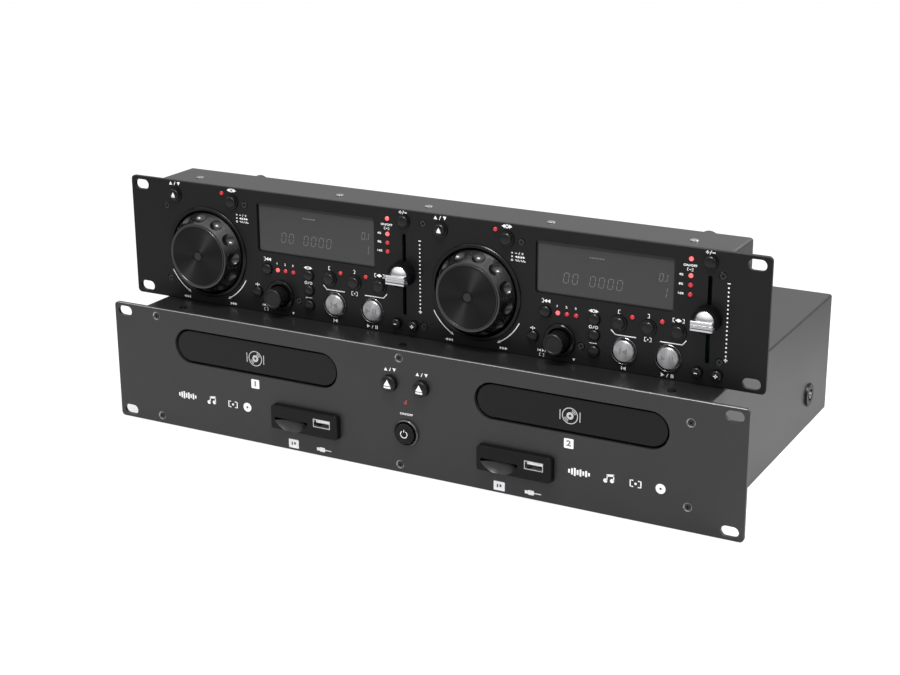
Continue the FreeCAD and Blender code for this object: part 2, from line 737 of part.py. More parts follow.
def dimple(deck_x, angle):
    """The ball that hollows one finger dimple, standing on the middle of the slope."""
    run, rise, length = jog_slope()
    ball = (DIMPLE_RADIUS**2 + DIMPLE_DEPTH**2) / (2 * DIMPLE_DEPTH)
    stand_off = ball - DIMPLE_DEPTH
    radius = (JOG_RADIUS + JOG_TOP_RADIUS) / 2 + stand_off * rise / length
    height = (JOG_HEIGHT + JOG_SKIRT) / 2 + stand_off * run / length
    turn = math.radians(angle)
    centre = vec(deck_x + radius * math.cos(turn), -height, JOG_Z + radius * math.sin(turn))
    return Part.makeSphere(ball, centre)


def jog_disc(deck_x):
    """The turned metal disc in the wheel's top, with a raised rim and a sunk centre mark."""
    face = -JOG_HEIGHT - 0.2
    rim = face - 0.3
    outline = [
        (0, face + 0.3),
        (JOG_HUB_MARK_RADIUS, face + 0.3),
        (JOG_HUB_MARK_RADIUS, face),
        (JOG_DISC_RADIUS - 1.0, face),
        (JOG_DISC_RADIUS - 0.8, rim),
        (JOG_DISC_RADIUS - 0.2, rim),
        (JOG_DISC_RADIUS, rim + 0.3),
        (JOG_DISC_RADIUS, -JOG_HEIGHT + JOG_DISC_THICKNESS),
        (0, -JOG_HEIGHT + JOG_DISC_THICKNESS),
    ]
    return turned(deck_x, JOG_Z, outline)


def track_knob(deck_x):
    """A ribbed knob with a sunk face, on its encoder shaft."""
    x = deck_x + KNOB_X
    outline = [
        (0, -KNOB_HEIGHT + 0.4),
        (KNOB_FRONT_RADIUS - 1.8, -KNOB_HEIGHT + 0.4),
        (KNOB_FRONT_RADIUS - 1.4, -KNOB_HEIGHT),
        (KNOB_FRONT_RADIUS - 0.5, -KNOB_HEIGHT),
        (KNOB_FRONT_RADIUS, -KNOB_HEIGHT + 0.5),
        (KNOB_RADIUS, -KNOB_FOOT),
        (SHAFT_RADIUS, -KNOB_FOOT),
        (SHAFT_RADIUS, SHAFT_END),
        (0, SHAFT_END),
    ]
    knob = turned(x, KNOB_Z, outline)
    grooves = []
    for rib in range(KNOB_RIBS):
        turn = math.radians(360 * rib / KNOB_RIBS)
        groove_x = x + KNOB_RADIUS * math.cos(turn)
        groove_z = KNOB_Z + KNOB_RADIUS * math.sin(turn)
        grooves.append(rod(groove_x, groove_z, KNOB_GROOVE, (-KNOB_HEIGHT + 1.2, 0)))
    return knob.cut(grooves)


# ----------------------------------------------------------------- pitch fader
def pitch_fader(deck_x):
    """The fader's cap: a tapered skirt under a dome, with a ribbed finger bar, and its lever."""
    x = deck_x + FADER_X
    rest_z = FADER_Z + FADER_REST
    dome_rise = FADER_DOME_TOP - FADER_SKIRT_TOP
    outline = [
        (0, -FADER_DOME_TOP),
        (FADER_DOME_RADIUS * 0.6, -FADER_DOME_TOP + dome_rise * 0.25),
        (FADER_DOME_RADIUS, -FADER_SKIRT_TOP),
        (FADER_CAP_RADIUS, -FADER_SKIRT_TOP),
        (FADER_SKIRT_RADIUS, -FADER_LIFT),
        (0, -FADER_LIFT),
    ]
    cap = joined([turned(x, rest_z, outline, arcs=(1,)), fader_bar(x, rest_z)])
    half = FADER_LEVER_WIDTH / 2
    reach = FADER_LEVER_HEIGHT / 2
    lever = box((x - half, x + half), (-FADER_LIFT, FADER_LEVER_END), (rest_z - reach, rest_z + reach))
    return group([cap, lever])


def fader_bar(x, axis_z):
    """The finger bar across the lower half of the cap, with two grooves along its front."""
    half = FADER_BAR_WIDTH / 2
    rise = FADER_BAR_HEIGHT / 2
    z = axis_z - FADER_BAR_DROP
    bar = box((x - half, x + half), (-FADER_BAR_TOP, -FADER_SKIRT_TOP), (z - rise, z + rise))
    cuts = []
    for side in (-1, 1):
        start = vec(x - half - 1, -FADER_BAR_TOP, z + side * rise / 3)
        cuts.append(Part.makeCylinder(FADER_BAR_GROOVE, FADER_BAR_WIDTH + 2, start, vec(1, 0, 0)))
    front = [edge for edge in bar.Edges if edge.BoundBox.YMax < -FADER_BAR_TOP + 0.01]
    return bar.makeFillet(0.5, front).cut(cuts)


# ---------------------------------------------------------------- player's face
def port_block(left, y, grow):
    """The media port's outline across y, grown on every side."""
    centre_z = PORT_BOTTOM + PORT_HEIGHT / 2
    width = PORT_WIDTH + 2 * grow
    return rounded(left + PORT_WIDTH / 2, centre_z, width, PORT_HEIGHT + 2 * grow, PORT_CORNER + grow, y)


def tray_opening(x, y, shrink):
    """The stadium-shaped opening for a tray, or, shrunk, the tray's front."""
    height = TRAY_OPENING_HEIGHT - 2 * shrink
    return rounded(x, TRAY_Z, TRAY_OPENING_WIDTH - 2 * shrink, height, height / 2, y)


def player_front_panel():
    """The player's face with its openings, and the bezel pressed in around the power button."""
    through = (-1, PANEL_THICKNESS + 1)
    cuts = [screw_seat(x, z) for x, z in PLAYER_SCREWS]
    cuts += [tray_opening(x, through, 0) for x in TRAY_X]
    cuts += [port_block(left, through, PORT_GAP) for left in PORT_LEFT]
    cuts += [hole(x, z, EJECT.hole_radius) for x, z in EJECT_PLACES]
    cuts.append(hole(*POWER_PLACE, POWER.hole_radius))
    cuts.append(hole(*PLAYER_LED_PLACE, LED_RADIUS + SEAT_GAP))
    bezel = ring(*POWER_PLACE, POWER_RING_INNER, POWER_RING_OUTER, POWER_RING_PROUD, BEZEL_SPIGOT)
    return group([panel_blank().cut(cuts), bezel])


def media_port(left):
    """A protruding block with a card slot over a thumb scoop, and a memory socket beside it."""
    block = port_block(left, (-FRONT_PROUD, PORT_BACK), 0)
    front = [edge for edge in block.Edges if edge.BoundBox.YMax < -FRONT_PROUD + 0.01]
    wall_back = PANEL_THICKNESS + SHEET
    flange = port_block(left, (wall_back, wall_back + PORT_FLANGE), PORT_FLANGE)
    block = joined([block.makeFillet(0.7, front), flange])
    slot_left = left + CARD_SLOT_FROM_LEFT
    slot_low = CARD_SLOT_Z - CARD_SLOT_HEIGHT / 2
    slot_z = (slot_low, slot_low + CARD_SLOT_HEIGHT)
    slot_y = (-FRONT_PROUD - 1, -FRONT_PROUD + CARD_SLOT_DEPTH)
    slot = box((slot_left, slot_left + CARD_SLOT_WIDTH), slot_y, slot_z)
    socket_left = left + USB_FROM_LEFT
    socket_x = (socket_left, socket_left + USB_WIDTH)
    socket_z = (USB_Z - USB_HEIGHT / 2, USB_Z + USB_HEIGHT / 2)
    pocket = box(socket_x, (-FRONT_PROUD - 1, -FRONT_PROUD + USB_DEPTH), socket_z)
    block = block.cut([slot, thumb_scoop(slot_left, slot_low), pocket])
    return [block, memory_socket(socket_x, socket_z)]


def thumb_scoop(slot_left, slot_low):
    """A ball that cuts a scoop under the slot: its outline on the face is an arc on the slot's chord."""
    half = CARD_SLOT_WIDTH / 2
    arc_radius = (half**2 + SCOOP_DROP**2) / (2 * SCOOP_DROP)
    stand_off = math.sqrt(SCOOP_SPHERE**2 - arc_radius**2)
    centre_z = slot_low - SCOOP_DROP + arc_radius
    ball = Part.makeSphere(SCOOP_SPHERE, vec(slot_left + half, -FRONT_PROUD - stand_off, centre_z))
    span_x = (slot_left, slot_left + CARD_SLOT_WIDTH)
    below = box(span_x, (-FRONT_PROUD - 1, PORT_BACK), (slot_low - SCOOP_DROP - 1, slot_low + 0.01))
    return ball.common(below)


def memory_socket(x, z):
    """The metal shell of the memory socket with its contact tongue."""
    y = (-FRONT_PROUD, -FRONT_PROUD + USB_DEPTH)
    shell = box(x, y, z)
    inner_x = (x[0] + USB_WALL, x[1] - USB_WALL)
    inner_z = (z[0] + USB_WALL, z[1] - USB_WALL)
    shell = shell.cut(box(inner_x, (y[0] - 1, y[1] - 1), inner_z))
    tongue_x = (inner_x[0] + 0.8, inner_x[1] - 0.8)
    tongue_z = (inner_z[1] - 0.7 - USB_TONGUE_HEIGHT, inner_z[1] - 0.7)
    return joined([shell, box(tongue_x, (y[0] + 2, y[1] - 0.5), tongue_z)])


def media_ports():
    solids = []
    for left in PORT_LEFT:
        solids += media_port(left)
    return group(solids)


# ------------------------------------------------------------- player's housing
def player_chassis():
    """A folded tray: floor, front and rear walls, side flanges and a return under the cover."""
    half = PLAYER_WIDTH / 2 - SHEET
    top = PANEL_HEIGHT - SHEET
    front_y = (PANEL_THICKNESS, PANEL_THICKNESS + SHEET)
    inside_bend = BEND_RADIUS - SHEET
    wide = (inside_bend - half, half - inside_bend)
    floor = box((-half, half), (PANEL_THICKNESS, PLAYER_DEPTH), (0, SHEET))
    front = box(wide, front_y, (0, top))
    rear = box(wide, (REAR_INNER, PLAYER_DEPTH), (0, top))
    turn_in = box(wide, (PANEL_THICKNESS, TOP_RETURN_DEPTH), (top - SHEET, top))
    parts = [floor, front, rear, turn_in]
    for side in (-1, 1):
        flange_x = sorted((side * half, side * (half - SHEET)))
        parts.append(box(flange_x, (PANEL_THICKNESS, PLAYER_DEPTH), (0, SIDE_FLANGE_HEIGHT)))
    return joined(parts).cut(chassis_front_cuts() + chassis_rear_cuts() + chassis_screw_holes())


def chassis_front_cuts():
    """Openings in the front wall, each clear of what passes through it."""
    y = (PANEL_THICKNESS - 1, PANEL_THICKNESS + SHEET + 1)
    cuts = [tray_opening(x, y, 0) for x in TRAY_X]
    cuts += [port_block(left, y, PORT_GAP) for left in PORT_LEFT]
    clear = FLANGE_LIP + 2 * HOLE_GAP
    cuts += [rod(x, z, EJECT.hole_radius + clear, y) for x, z in EJECT_PLACES]
    cuts.append(rod(*POWER_PLACE, POWER.hole_radius + clear, y))
    cuts.append(rod(*PLAYER_LED_PLACE, LED_RADIUS + SEAT_GAP, y))
    cuts += [rod(x, z, SCREW_SHANK_RADIUS + SEAT_GAP, y) for x, z in PLAYER_SCREWS]
    return cuts


def chassis_rear_cuts():
    """Openings in the rear wall for the sockets."""
    y = (REAR_INNER - 1, PLAYER_DEPTH + 1)
    cuts = [rod(x, z, PHONO_BASE_RADIUS + SEAT_GAP, y) for x in PHONO_X for z in PHONO_Z]
    cuts += [rod(x, PLAYER_LINK_Z, LINK_SOCKET_RADIUS + SEAT_GAP, y) for x in PLAYER_LINK_X]
    half_x = MAINS_WIDTH / 2 + SEAT_GAP
    half_z = MAINS_HEIGHT / 2 + SEAT_GAP
    cuts.append(box((MAINS_X - half_x, MAINS_X + half_x), y, (MAINS_Z - half_z, MAINS_Z + half_z)))
    return cuts


def side_shank(y, side, length):
    """A screw's shank through the cover's side at one of the side screws."""
    start = vec(side * PLAYER_WIDTH / 2, y, SIDE_SCREW_Z)
    return Part.makeCylinder(SCREW_SHANK_RADIUS + SEAT_GAP, length, start, vec(-side, 0, 0))


def chassis_screw_holes():
    span = (PANEL_HEIGHT - 3 * SHEET, PANEL_HEIGHT)
    radius = SCREW_SHANK_RADIUS + SEAT_GAP
    holes = [post(x, PLAYER_TOP_SCREW_Y, radius, span) for x in PLAYER_TOP_SCREWS_X]
    holes += [side_shank(y, side, 3 * SHEET) for y in SIDE_SCREWS_Y for side in (-1, 1)]
    return holes


def player_cover():
    """The folded cover: a top and two sides with rounded bends."""
    y = (PANEL_THICKNESS, PLAYER_DEPTH)
    outer = rounded(0, PANEL_HEIGHT / 2, PLAYER_WIDTH, PANEL_HEIGHT, BEND_RADIUS, y)
    inner_y = (y[0] - 1, y[1] + 1)
    inner_height = PANEL_HEIGHT - 2 * SHEET
    inner = rounded(0, PANEL_HEIGHT / 2, PLAYER_WIDTH - 2 * SHEET, inner_height, BEND_RADIUS - SHEET, inner_y)
    below = box((-PLAYER_WIDTH, PLAYER_WIDTH), inner_y, (-1, BEND_RADIUS + SHEET))
    walls = outer.cut([inner, below])
    sides = []
    for side in (-1, 1):
        side_x = sorted((side * PLAYER_WIDTH / 2, side * (PLAYER_WIDTH / 2 - SHEET)))
        sides.append(box(side_x, y, (COVER_LIFT, BEND_RADIUS + SHEET)))
    cover = joined([walls] + sides)
    span = (PANEL_HEIGHT - SHEET - 1, PANEL_HEIGHT + 1)
    cuts = [post(x, PLAYER_TOP_SCREW_Y, SCREW_SHANK_RADIUS + SEAT_GAP, span) for x in PLAYER_TOP_SCREWS_X]
    cuts += [side_shank(y, side, 1.5 * SHEET) for y in SIDE_SCREWS_Y for side in (-1, 1)]
    return cover.cut(cuts)


def side_screw(y, side):
    """A screw through a cup washer on the cover's side."""
    face = side * PLAYER_WIDTH / 2
    outward = vec(side, 0, 0)
    cup = Part.makeCone(CUP_RADIUS, CUP_RADIUS - 0.8, CUP_THICKNESS, vec(face, y, SIDE_SCREW_Z), outward)
    well = vec(face + side * CUP_THICKNESS / 2, y, SIDE_SCREW_Z)
    cup = cup.cut(Part.makeCylinder(CUP_RADIUS / 2, CUP_THICKNESS, well, outward))
    hole = SCREW_SHANK_RADIUS + SEAT_GAP
    cup = cup.cut(Part.makeCylinder(hole, CUP_THICKNESS, vec(face, y, SIDE_SCREW_Z), outward))
    head = Part.makeCylinder(COVER_SCREW_HEAD_RADIUS, COVER_SCREW_HEAD, well, outward)
    shank = Part.makeCylinder(SCREW_SHANK_RADIUS, COVER_SCREW_REACH, well, vec(-side, 0, 0))
    return [cup, head.fuse(shank)]


def player_screws():
    solids = [panel_screw(x, z) for x, z in PLAYER_SCREWS]
    solids += [top_screw(x, PLAYER_TOP_SCREW_Y, PANEL_HEIGHT) for x in PLAYER_TOP_SCREWS_X]
    for y in SIDE_SCREWS_Y:
        for side in (-1, 1):
            solids += side_screw(y, side)
    return group(solids)


# --------------------------------------------------------- the player's insides
def player_boards():
    """The main board with its transformer, and the button board with the power indicator."""
    main_z = (MAIN_BOARD_Z, MAIN_BOARD_Z + BOARD_THICKNESS)
    main_parts = [box(MAIN_BOARD_X, MAIN_BOARD_Y, main_z)]
    for x in (MAIN_BOARD_X[0] + STANDOFF_INSET, MAIN_BOARD_X[1] - STANDOFF_INSET):
        for y in (MAIN_BOARD_Y[0] + STANDOFF_INSET, MAIN_BOARD_Y[1] - STANDOFF_INSET):
            main_parts.append(post(x, y, STANDOFF_RADIUS, (SHEET, MAIN_BOARD_Z)))
    core_z = (main_z[1], main_z[1] + TRANSFORMER_HEIGHT)
    main_parts.append(box(TRANSFORMER_X, TRANSFORMER_Y, core_z))
    button_y = (BUTTON_BOARD_FRONT, BUTTON_BOARD_FRONT + BOARD_THICKNESS)
    button_parts = [box(BUTTON_BOARD_X, button_y, BUTTON_BOARD_Z)]
    for x, z in EJECT_PLACES + (POWER_PLACE,):
        button_parts.append(switch_body(x, z, BUTTON_BOARD_FRONT))
    button_parts.append(led(*PLAYER_LED_PLACE, BUTTON_BOARD_FRONT))
    return group([joined(main_parts), joined(button_parts)])


def drive_frame(x):
    """A loader frame: floor, side walls with tray guides, a bridge, and four feet."""
    half = TRAY_WIDTH / 2 + DRIVE_SIDE_GAP
    outer = half + DRIVE_WALL
    long = (DRIVE_FRONT, DRIVE_BACK)
    floor = box((x - outer, x + outer), long, (DRIVE_FLOOR, DRIVE_FLOOR + DRIVE_FLOOR_THICKNESS))
    window_x = (x - HUB_SLOT_WIDTH / 2, x + HUB_SLOT_WIDTH / 2)
    floor = floor.cut(box(window_x, (DISC_CENTRE_Y + HUB_RADIUS + 8, DRIVE_BACK - 20), (0, PANEL_HEIGHT)))
    parts = [floor, drive_hub(x)]
    for side in (-1, 1):
        wall_x = sorted((x + side * half, x + side * outer))
        parts.append(box(wall_x, long, (DRIVE_FLOOR, DRIVE_TOP)))
        guide_x = sorted((x + side * outer, x + side * (half - GUIDE_REACH)))
        under = TRAY_TOP - TRAY_THICKNESS - GUIDE_GAP
        over = TRAY_TOP + GUIDE_GAP
        parts.append(box(guide_x, long, (under - GUIDE_THICKNESS, under)))
        parts.append(box(guide_x, long, (over, over + GUIDE_THICKNESS)))
        for y in (DRIVE_POST_FRONT, DRIVE_POST_BACK):
            foot_x = x + side * (outer - DRIVE_POST_INSET)
            parts.append(post(foot_x, y, DRIVE_POST_RADIUS, (SHEET, DRIVE_FLOOR)))
    bridge_y = (DISC_CENTRE_Y - BRIDGE_WIDTH / 2, DISC_CENTRE_Y + BRIDGE_WIDTH / 2)
    parts.append(box((x - outer, x + outer), bridge_y, (PUCK_TOP, PUCK_TOP + BRIDGE_THICKNESS)))
    parts.append(post(x, DISC_CENTRE_Y, PUCK_RADIUS, (PUCK_BOTTOM, PUCK_TOP)))
    return joined(parts)


def drive_hub(x):
    """The spindle motor and its hub, in the lowered place that lets the tray pass."""
    floor_top = DRIVE_FLOOR + DRIVE_FLOOR_THICKNESS
    motor = post(x, DISC_CENTRE_Y, HUB_RADIUS - 2, (DRIVE_FLOOR, HUB_TOP - 4))
    table = post(x, DISC_CENTRE_Y, HUB_RADIUS, (HUB_TOP - 4, HUB_TOP - 2))
    spigot = Part.makeCone(HUB_SPIGOT_RADIUS, HUB_SPIGOT_RADIUS - 1.5, 2, vec(x, DISC_CENTRE_Y, HUB_TOP - 2))
    return joined([motor, table, spigot, post(x, DISC_CENTRE_Y, HUB_RADIUS, (DRIVE_FLOOR, floor_top))])


def disc_drives():
    return group([drive_frame(x) for x in TRAY_X])


def tray(x):
    """A disc tray: a ribbed plate with the disc's recesses and the opening over the hub."""
    half = TRAY_WIDTH / 2
    front = TRAY_FRONT_RECESS + TRAY_FRONT_THICKNESS
    low = TRAY_TOP - TRAY_THICKNESS
    plate = box((x - half, x + half), (front, front + TRAY_LENGTH), (low, TRAY_TOP))
    corners = [edge for edge in plate.Edges if edge.BoundBox.YMin > front + 1 and edge.BoundBox.ZLength > 1]
    plate = plate.makeFillet(6.0, corners)
    floor = TRAY_TOP - DISC_RECESS_DEPTH
    disc = post(x, DISC_CENTRE_Y, DISC_RECESS_RADIUS, (floor, TRAY_TOP + 1))
    small_floor = floor - SMALL_DISC_DEPTH
    small = post(x, DISC_CENTRE_Y, SMALL_DISC_RADIUS, (small_floor, TRAY_TOP + 1))
    under = box(
        (x - half + GUIDE_REACH + 3, x + half - GUIDE_REACH - 3),
        (front + 3, front + TRAY_LENGTH - 3),
        (low - 1, small_floor - TRAY_RIB),
    )
    return plate.cut([disc, small, hub_slot(x), under])


def hub_slot(x):
    """The long opening with round ends through which the hub and the lens reach the disc."""
    half = HUB_SLOT_WIDTH / 2
    start = DISC_CENTRE_Y
    end = start + HUB_SLOT_LENGTH - HUB_SLOT_WIDTH
    z = (0, TRAY_TOP + 1)
    middle = box((x - half, x + half), (start, end), z)
    return joined([post(x, start, half, z), middle, post(x, end, half, z)])


def tray_front(x):
    """The stadium-shaped front that closes the panel's opening when the tray is in."""
    y = (TRAY_FRONT_RECESS, TRAY_FRONT_RECESS + TRAY_FRONT_THICKNESS)
    front = tray_opening(x, y, TRAY_FRONT_GAP)
    edges = [edge for edge in front.Edges if edge.BoundBox.YMax < TRAY_FRONT_RECESS + 0.01]
    return front.makeFillet(0.6, edges)


def phono_socket(x, z):
    """A phono socket: base, hollow barrel and centre contact as one turned part."""
    end = PLAYER_DEPTH + REAR_PROUD
    base = PLAYER_DEPTH + PHONO_BASE_PROUD
    body_radius = PHONO_BASE_RADIUS + SOCKET_FLANGE
    outline = [
        (0, REAR_INNER - SOCKET_REACH),
        (body_radius, REAR_INNER - SOCKET_REACH),
        (body_radius, REAR_INNER),
        (PHONO_BASE_RADIUS, REAR_INNER),
        (PHONO_BASE_RADIUS, base),
        (PHONO_RADIUS, base),
        (PHONO_RADIUS, end),
        (PHONO_BORE, end),
        (PHONO_BORE, base),
        (PHONO_PIN_RADIUS, base),
        (PHONO_PIN_RADIUS, end - 1),
        (0, end - 1),
    ]
    return turned(x, z, outline)


def mains_inlet():
    """The mains inlet: a walled recess in the rear with three flat pins."""
    half_x = MAINS_WIDTH / 2
    half_z = MAINS_HEIGHT / 2
    back = PLAYER_DEPTH + MAINS_PROUD
    front = back - MAINS_DEPTH - MAINS_WALL
    body = box((MAINS_X - half_x, MAINS_X + half_x), (front, back), (MAINS_Z - half_z, MAINS_Z + half_z))
    inner_x = half_x - MAINS_WALL
    inner_z = half_z - MAINS_WALL
    well_y = (back - MAINS_DEPTH, back + 1)
    well = box((MAINS_X - inner_x, MAINS_X + inner_x), well_y, (MAINS_Z - inner_z, MAINS_Z + inner_z))
    grown_x = half_x + SOCKET_FLANGE
    grown_z = half_z + SOCKET_FLANGE
    flange_y = (REAR_INNER - SOCKET_FLANGE, REAR_INNER)
    flange = box((MAINS_X - grown_x, MAINS_X + grown_x), flange_y, (MAINS_Z - grown_z, MAINS_Z + grown_z))
    parts = [joined([body, flange]).cut(well)]
    for pin_x, pin_z in MAINS_PINS:
        x = MAINS_X + pin_x
        z = MAINS_Z + pin_z
        half_w = MAINS_PIN_WIDTH / 2
        half_h = MAINS_PIN_HEIGHT / 2
        parts.append(box((x - half_w, x + half_w), (front, back - MAINS_PIN_SHY), (z - half_h, z + half_h)))
    return joined(parts)


def rear_sockets():
    """The phono sockets, the two link sockets and the mains inlet on the player's back."""
    solids = [phono_socket(x, z) for x in PHONO_X for z in PHONO_Z]
    for x in PLAYER_LINK_X:
        socket = link_socket(x, PLAYER_LINK_Z, (REAR_INNER - SOCKET_REACH, PLAYER_DEPTH + PLAYER_LINK_PROUD))
        collar_y = (REAR_INNER - SOCKET_FLANGE, REAR_INNER)
        collar = rod(x, PLAYER_LINK_Z, LINK_SOCKET_RADIUS + SOCKET_FLANGE, collar_y)
        collar = collar.cut(rod(x, PLAYER_LINK_Z, LINK_SOCKET_BORE, collar_y))
        solids.append(joined([socket, collar]))
    return group(solids + [mains_inlet()])


# ------------------------------------------------------------------ all pieces
def controller_pieces():
    pieces = {
        "controller_front_panel": controller_front_panel(),
        "controller_case": controller_case(),
        "controller_board": controller_board(),
        "controller_sockets": link_sockets(),
        "controller_screws": controller_screws(),
        "display_windows": display_windows(),
        "bezel_rings": bezel_rings(),
    }
    for number, deck_x in enumerate(DECK_X, start=1):
        for name, (x, z, style) in BUTTONS.items():
            pieces[f"{name}_{number}"] = button(deck_x + x, z, style, BOARD_FRONT)
        pieces[f"jog_wheel_{number}"] = jog_wheel(deck_x, DECK_DIMPLE_ANGLE[number - 1])
        pieces[f"jog_disc_{number}"] = jog_disc(deck_x)
        pieces[f"track_knob_{number}"] = track_knob(deck_x)
        pieces[f"pitch_fader_{number}"] = pitch_fader(deck_x)
    return pieces


def player_pieces():
    pieces = {
        "player_front_panel": player_front_panel(),
        "player_chassis": player_chassis(),
        "player_cover": player_cover(),
        "player_boards": player_boards(),
        "player_screws": player_screws(),
        "disc_drives": disc_drives(),
        "media_ports": media_ports(),
        "rear_sockets": rear_sockets(),
        "power_button": button(*POWER_PLACE, POWER, BUTTON_BOARD_FRONT),
    }
    for number, (x, (eject_x, eject_z)) in enumerate(zip(TRAY_X, EJECT_PLACES), start=1):
        pieces[f"eject_button_{number}"] = button(eject_x, eject_z, EJECT, BUTTON_BOARD_FRONT)
        pieces[f"tray_{number}"] = tray(x)
        pieces[f"tray_front_{number}"] = tray_front(x)
    return pieces


def write_parts():
    os.makedirs("parts", exist_ok=True)
    for pieces, place in ((player_pieces(), PLAYER_AT), (controller_pieces(), CONTROLLER_AT)):
        for name, shape in pieces.items():
            shape.translate(place)
            shape.exportStep(f"parts/{name}.step")


write_parts()
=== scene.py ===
import math

import bmesh
import bpy
from mathutils import Matrix, Vector


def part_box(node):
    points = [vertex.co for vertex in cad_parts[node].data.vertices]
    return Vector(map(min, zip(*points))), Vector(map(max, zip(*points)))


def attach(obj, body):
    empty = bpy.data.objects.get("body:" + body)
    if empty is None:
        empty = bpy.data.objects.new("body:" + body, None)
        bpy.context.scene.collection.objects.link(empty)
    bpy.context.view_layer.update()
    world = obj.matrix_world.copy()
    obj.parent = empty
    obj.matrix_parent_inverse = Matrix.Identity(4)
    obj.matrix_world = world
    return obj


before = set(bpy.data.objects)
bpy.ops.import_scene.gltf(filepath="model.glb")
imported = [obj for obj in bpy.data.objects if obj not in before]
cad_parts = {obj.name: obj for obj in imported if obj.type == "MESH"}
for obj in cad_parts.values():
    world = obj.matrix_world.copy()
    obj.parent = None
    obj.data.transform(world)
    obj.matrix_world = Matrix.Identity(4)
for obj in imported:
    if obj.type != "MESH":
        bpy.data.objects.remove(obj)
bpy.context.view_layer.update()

# The looks of a twin disc player with its controller. Lengths are written in
# millimetres, and become metres where a mesh is made. Places come from the CAD
# nodes: a deck's own places are counted from its jog wheel's axis, in X, and
# from the lower edge of the controller's face plate, in Z.
MM = 0.001
DECKS = (1, 2)
PANEL_THICKNESS = 2.5
INK_THICKNESS = 0.04
INK_SINK = 0.01
LETTER_STRETCH = 1.25
LETTER_WEIGHT = 0.05


# ---------------------------------------------------------------- CAD's places
def corners(node):
    """A node's lowest and highest corners in millimetres."""
    low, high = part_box(node)
    return low / MM, high / MM


def middle(node):
    low, high = corners(node)
    return (low + high) / 2


CONTROLLER_FACE = corners("controller_front_panel")[0].y
CONTROLLER_FOOT = corners("controller_front_panel")[0].z
CONTROLLER_TOP = corners("controller_front_panel")[1].z
PLAYER_FACE = corners("player_front_panel")[1].y - PANEL_THICKNESS
DECK_X = {deck: middle(f"jog_wheel_{deck}").x for deck in DECKS}
JOG_Z = middle("jog_wheel_1").z - CONTROLLER_FOOT
DISPLAY_FACE = corners("display_windows")[0].y
ON_AXIS = 1e-6

# Places on the player's face, from the object's middle and the surface it stands on.
TILE_X = (-120.0, 122.1)
TILE_Z = 44.25
EJECT_X = (-9.9, 14.5)
MARK_Z = 25.5
MARK_PLACES = ((-179.7, -158.5, -140.0, -127.6), (129.7, 150.5, 168.8, 185.7))
CARD_TILE_X = (-89.2, 72.4)
PLUG_MARK_X = (-64.0, 97.2)
TRAY_MARK_X = (-119.9, 122.1)
TRAY_MARK_Z = 62.75
POWER_PLACE = (2.4, 29.9)
POWER_RING = (7.9, 9.3)
POWER_RING_PROUD = 2.0
POWER_LED = (2.2, 51.4)
PLAYER_SCREWS = (
    (-204.0, 82.2),
    (-204.0, 5.8),
    (-3.1, 82.2),
    (-3.1, 5.8),
    (204.0, 73.0),
    (204.0, 16.6),
)
SIDE_SCREWS_Y = (PLAYER_FACE + 40.0, PLAYER_FACE + 211.0)
SIDE_SCREW_Z = 24.6
SIDE_HEAD_X = 216.4
SIDE_FACE_RADIUS = 2.6
SIDE_FACE_THICKNESS = 0.35
SIDE_CROSS = (1.6, 0.8)
SCREW_FACE_RADIUS = 2.1
SCREW_FACE_THICKNESS = 0.3
SCREW_FACE_SHY = 0.12
SCREW_CROSS = (1.5, 0.75)
SCREW_EASE = 0.08
DISH_RADII = (2.98, 2.9, 2.2)
DISH_FRONT = 0.02
DISH_BACK = 0.38
RIM_HEIGHT = 0.35
RIM_DEPTH = 0.38

# The media ports, whose own places are counted from their left edges.
PORT_LEFT = (-104.9, 57.4)
PORT_FACE = PLAYER_FACE - 4.5
SOCKET_FROM_LEFT = 42.0
SOCKET_Z = 25.7
SOCKET_HALF = (6.95, 3.15)
TONGUE_HALF = 5.65
TONGUE_Z = (25.5, 28.0)
TONGUE_SHY = 1.9
SCOOP_ACROSS = (3.0, 30.4)
SCOOP_Z = (14.8, 22.0)
SCOOP_DEEP = (0.02, 5.5)

# The phono sockets on the back.
PHONO_X = (64.0, 80.0, 112.0)
PHONO_ROWS = ((30.0, "socket_red"), (48.0, "socket_white"))
PHONO_COLLAR = (4.3, 6.1)
PHONO_SLEEVE = (3.1, 4.25)

# Places on the controller's face: those of a deck, and those of the screws between.
DECK_SCREWS = ((32.8, 76.6), (76.2, 12.7))
END_SCREWS = (
    (-210.6, 68.7),
    (-210.6, 14.5),
    (0.7, 80.3),
    (0.7, 8.7),
    (210.6, 72.2),
    (210.6, 16.6),
)
TOP_HEAD_DROP = 0.1
TRANSPORT_PLACES = ((106.2, 14.2), (136.3, 14.2))
TRANSPORT_RING = (8.4, 9.2)
TRANSPORT_RING_PROUD = 0.9
JOG_RING = (30.4, 33.1)
JOG_RING_PROUD = 1.3
JOG_DISC_RIM = 21.35
WINDOW_MIDDLE = (90.9, 62.0)
WINDOW_SIZE = (95.2, 34.8)
FADER_SKIRT_TOP = 8.5
FADER_BAR_TOP = 13.5
FADER_GROOVES = (40.08, 44.42)
FADER_GROOVE_DEPTH = 0.9
FADER_GROOVE_HALF = 0.79
JOG_CONE_TOP = (23.6, -12.3)
JOG_CONE_FOOT = (29.3, -1.0)
DIMPLE_PHASE = {1: 0.5, 2: 18.5}
DIMPLE_COUNT = 12
DOT_RADIUS = 0.55
DOT_FLATNESS = 0.45
DOT_SHARES = (0.28, 0.5, 0.72)
JOG_HUB_RADIUS = 2.9
LENS_RADIUS = 1.5
LENS_RISE = 1.05
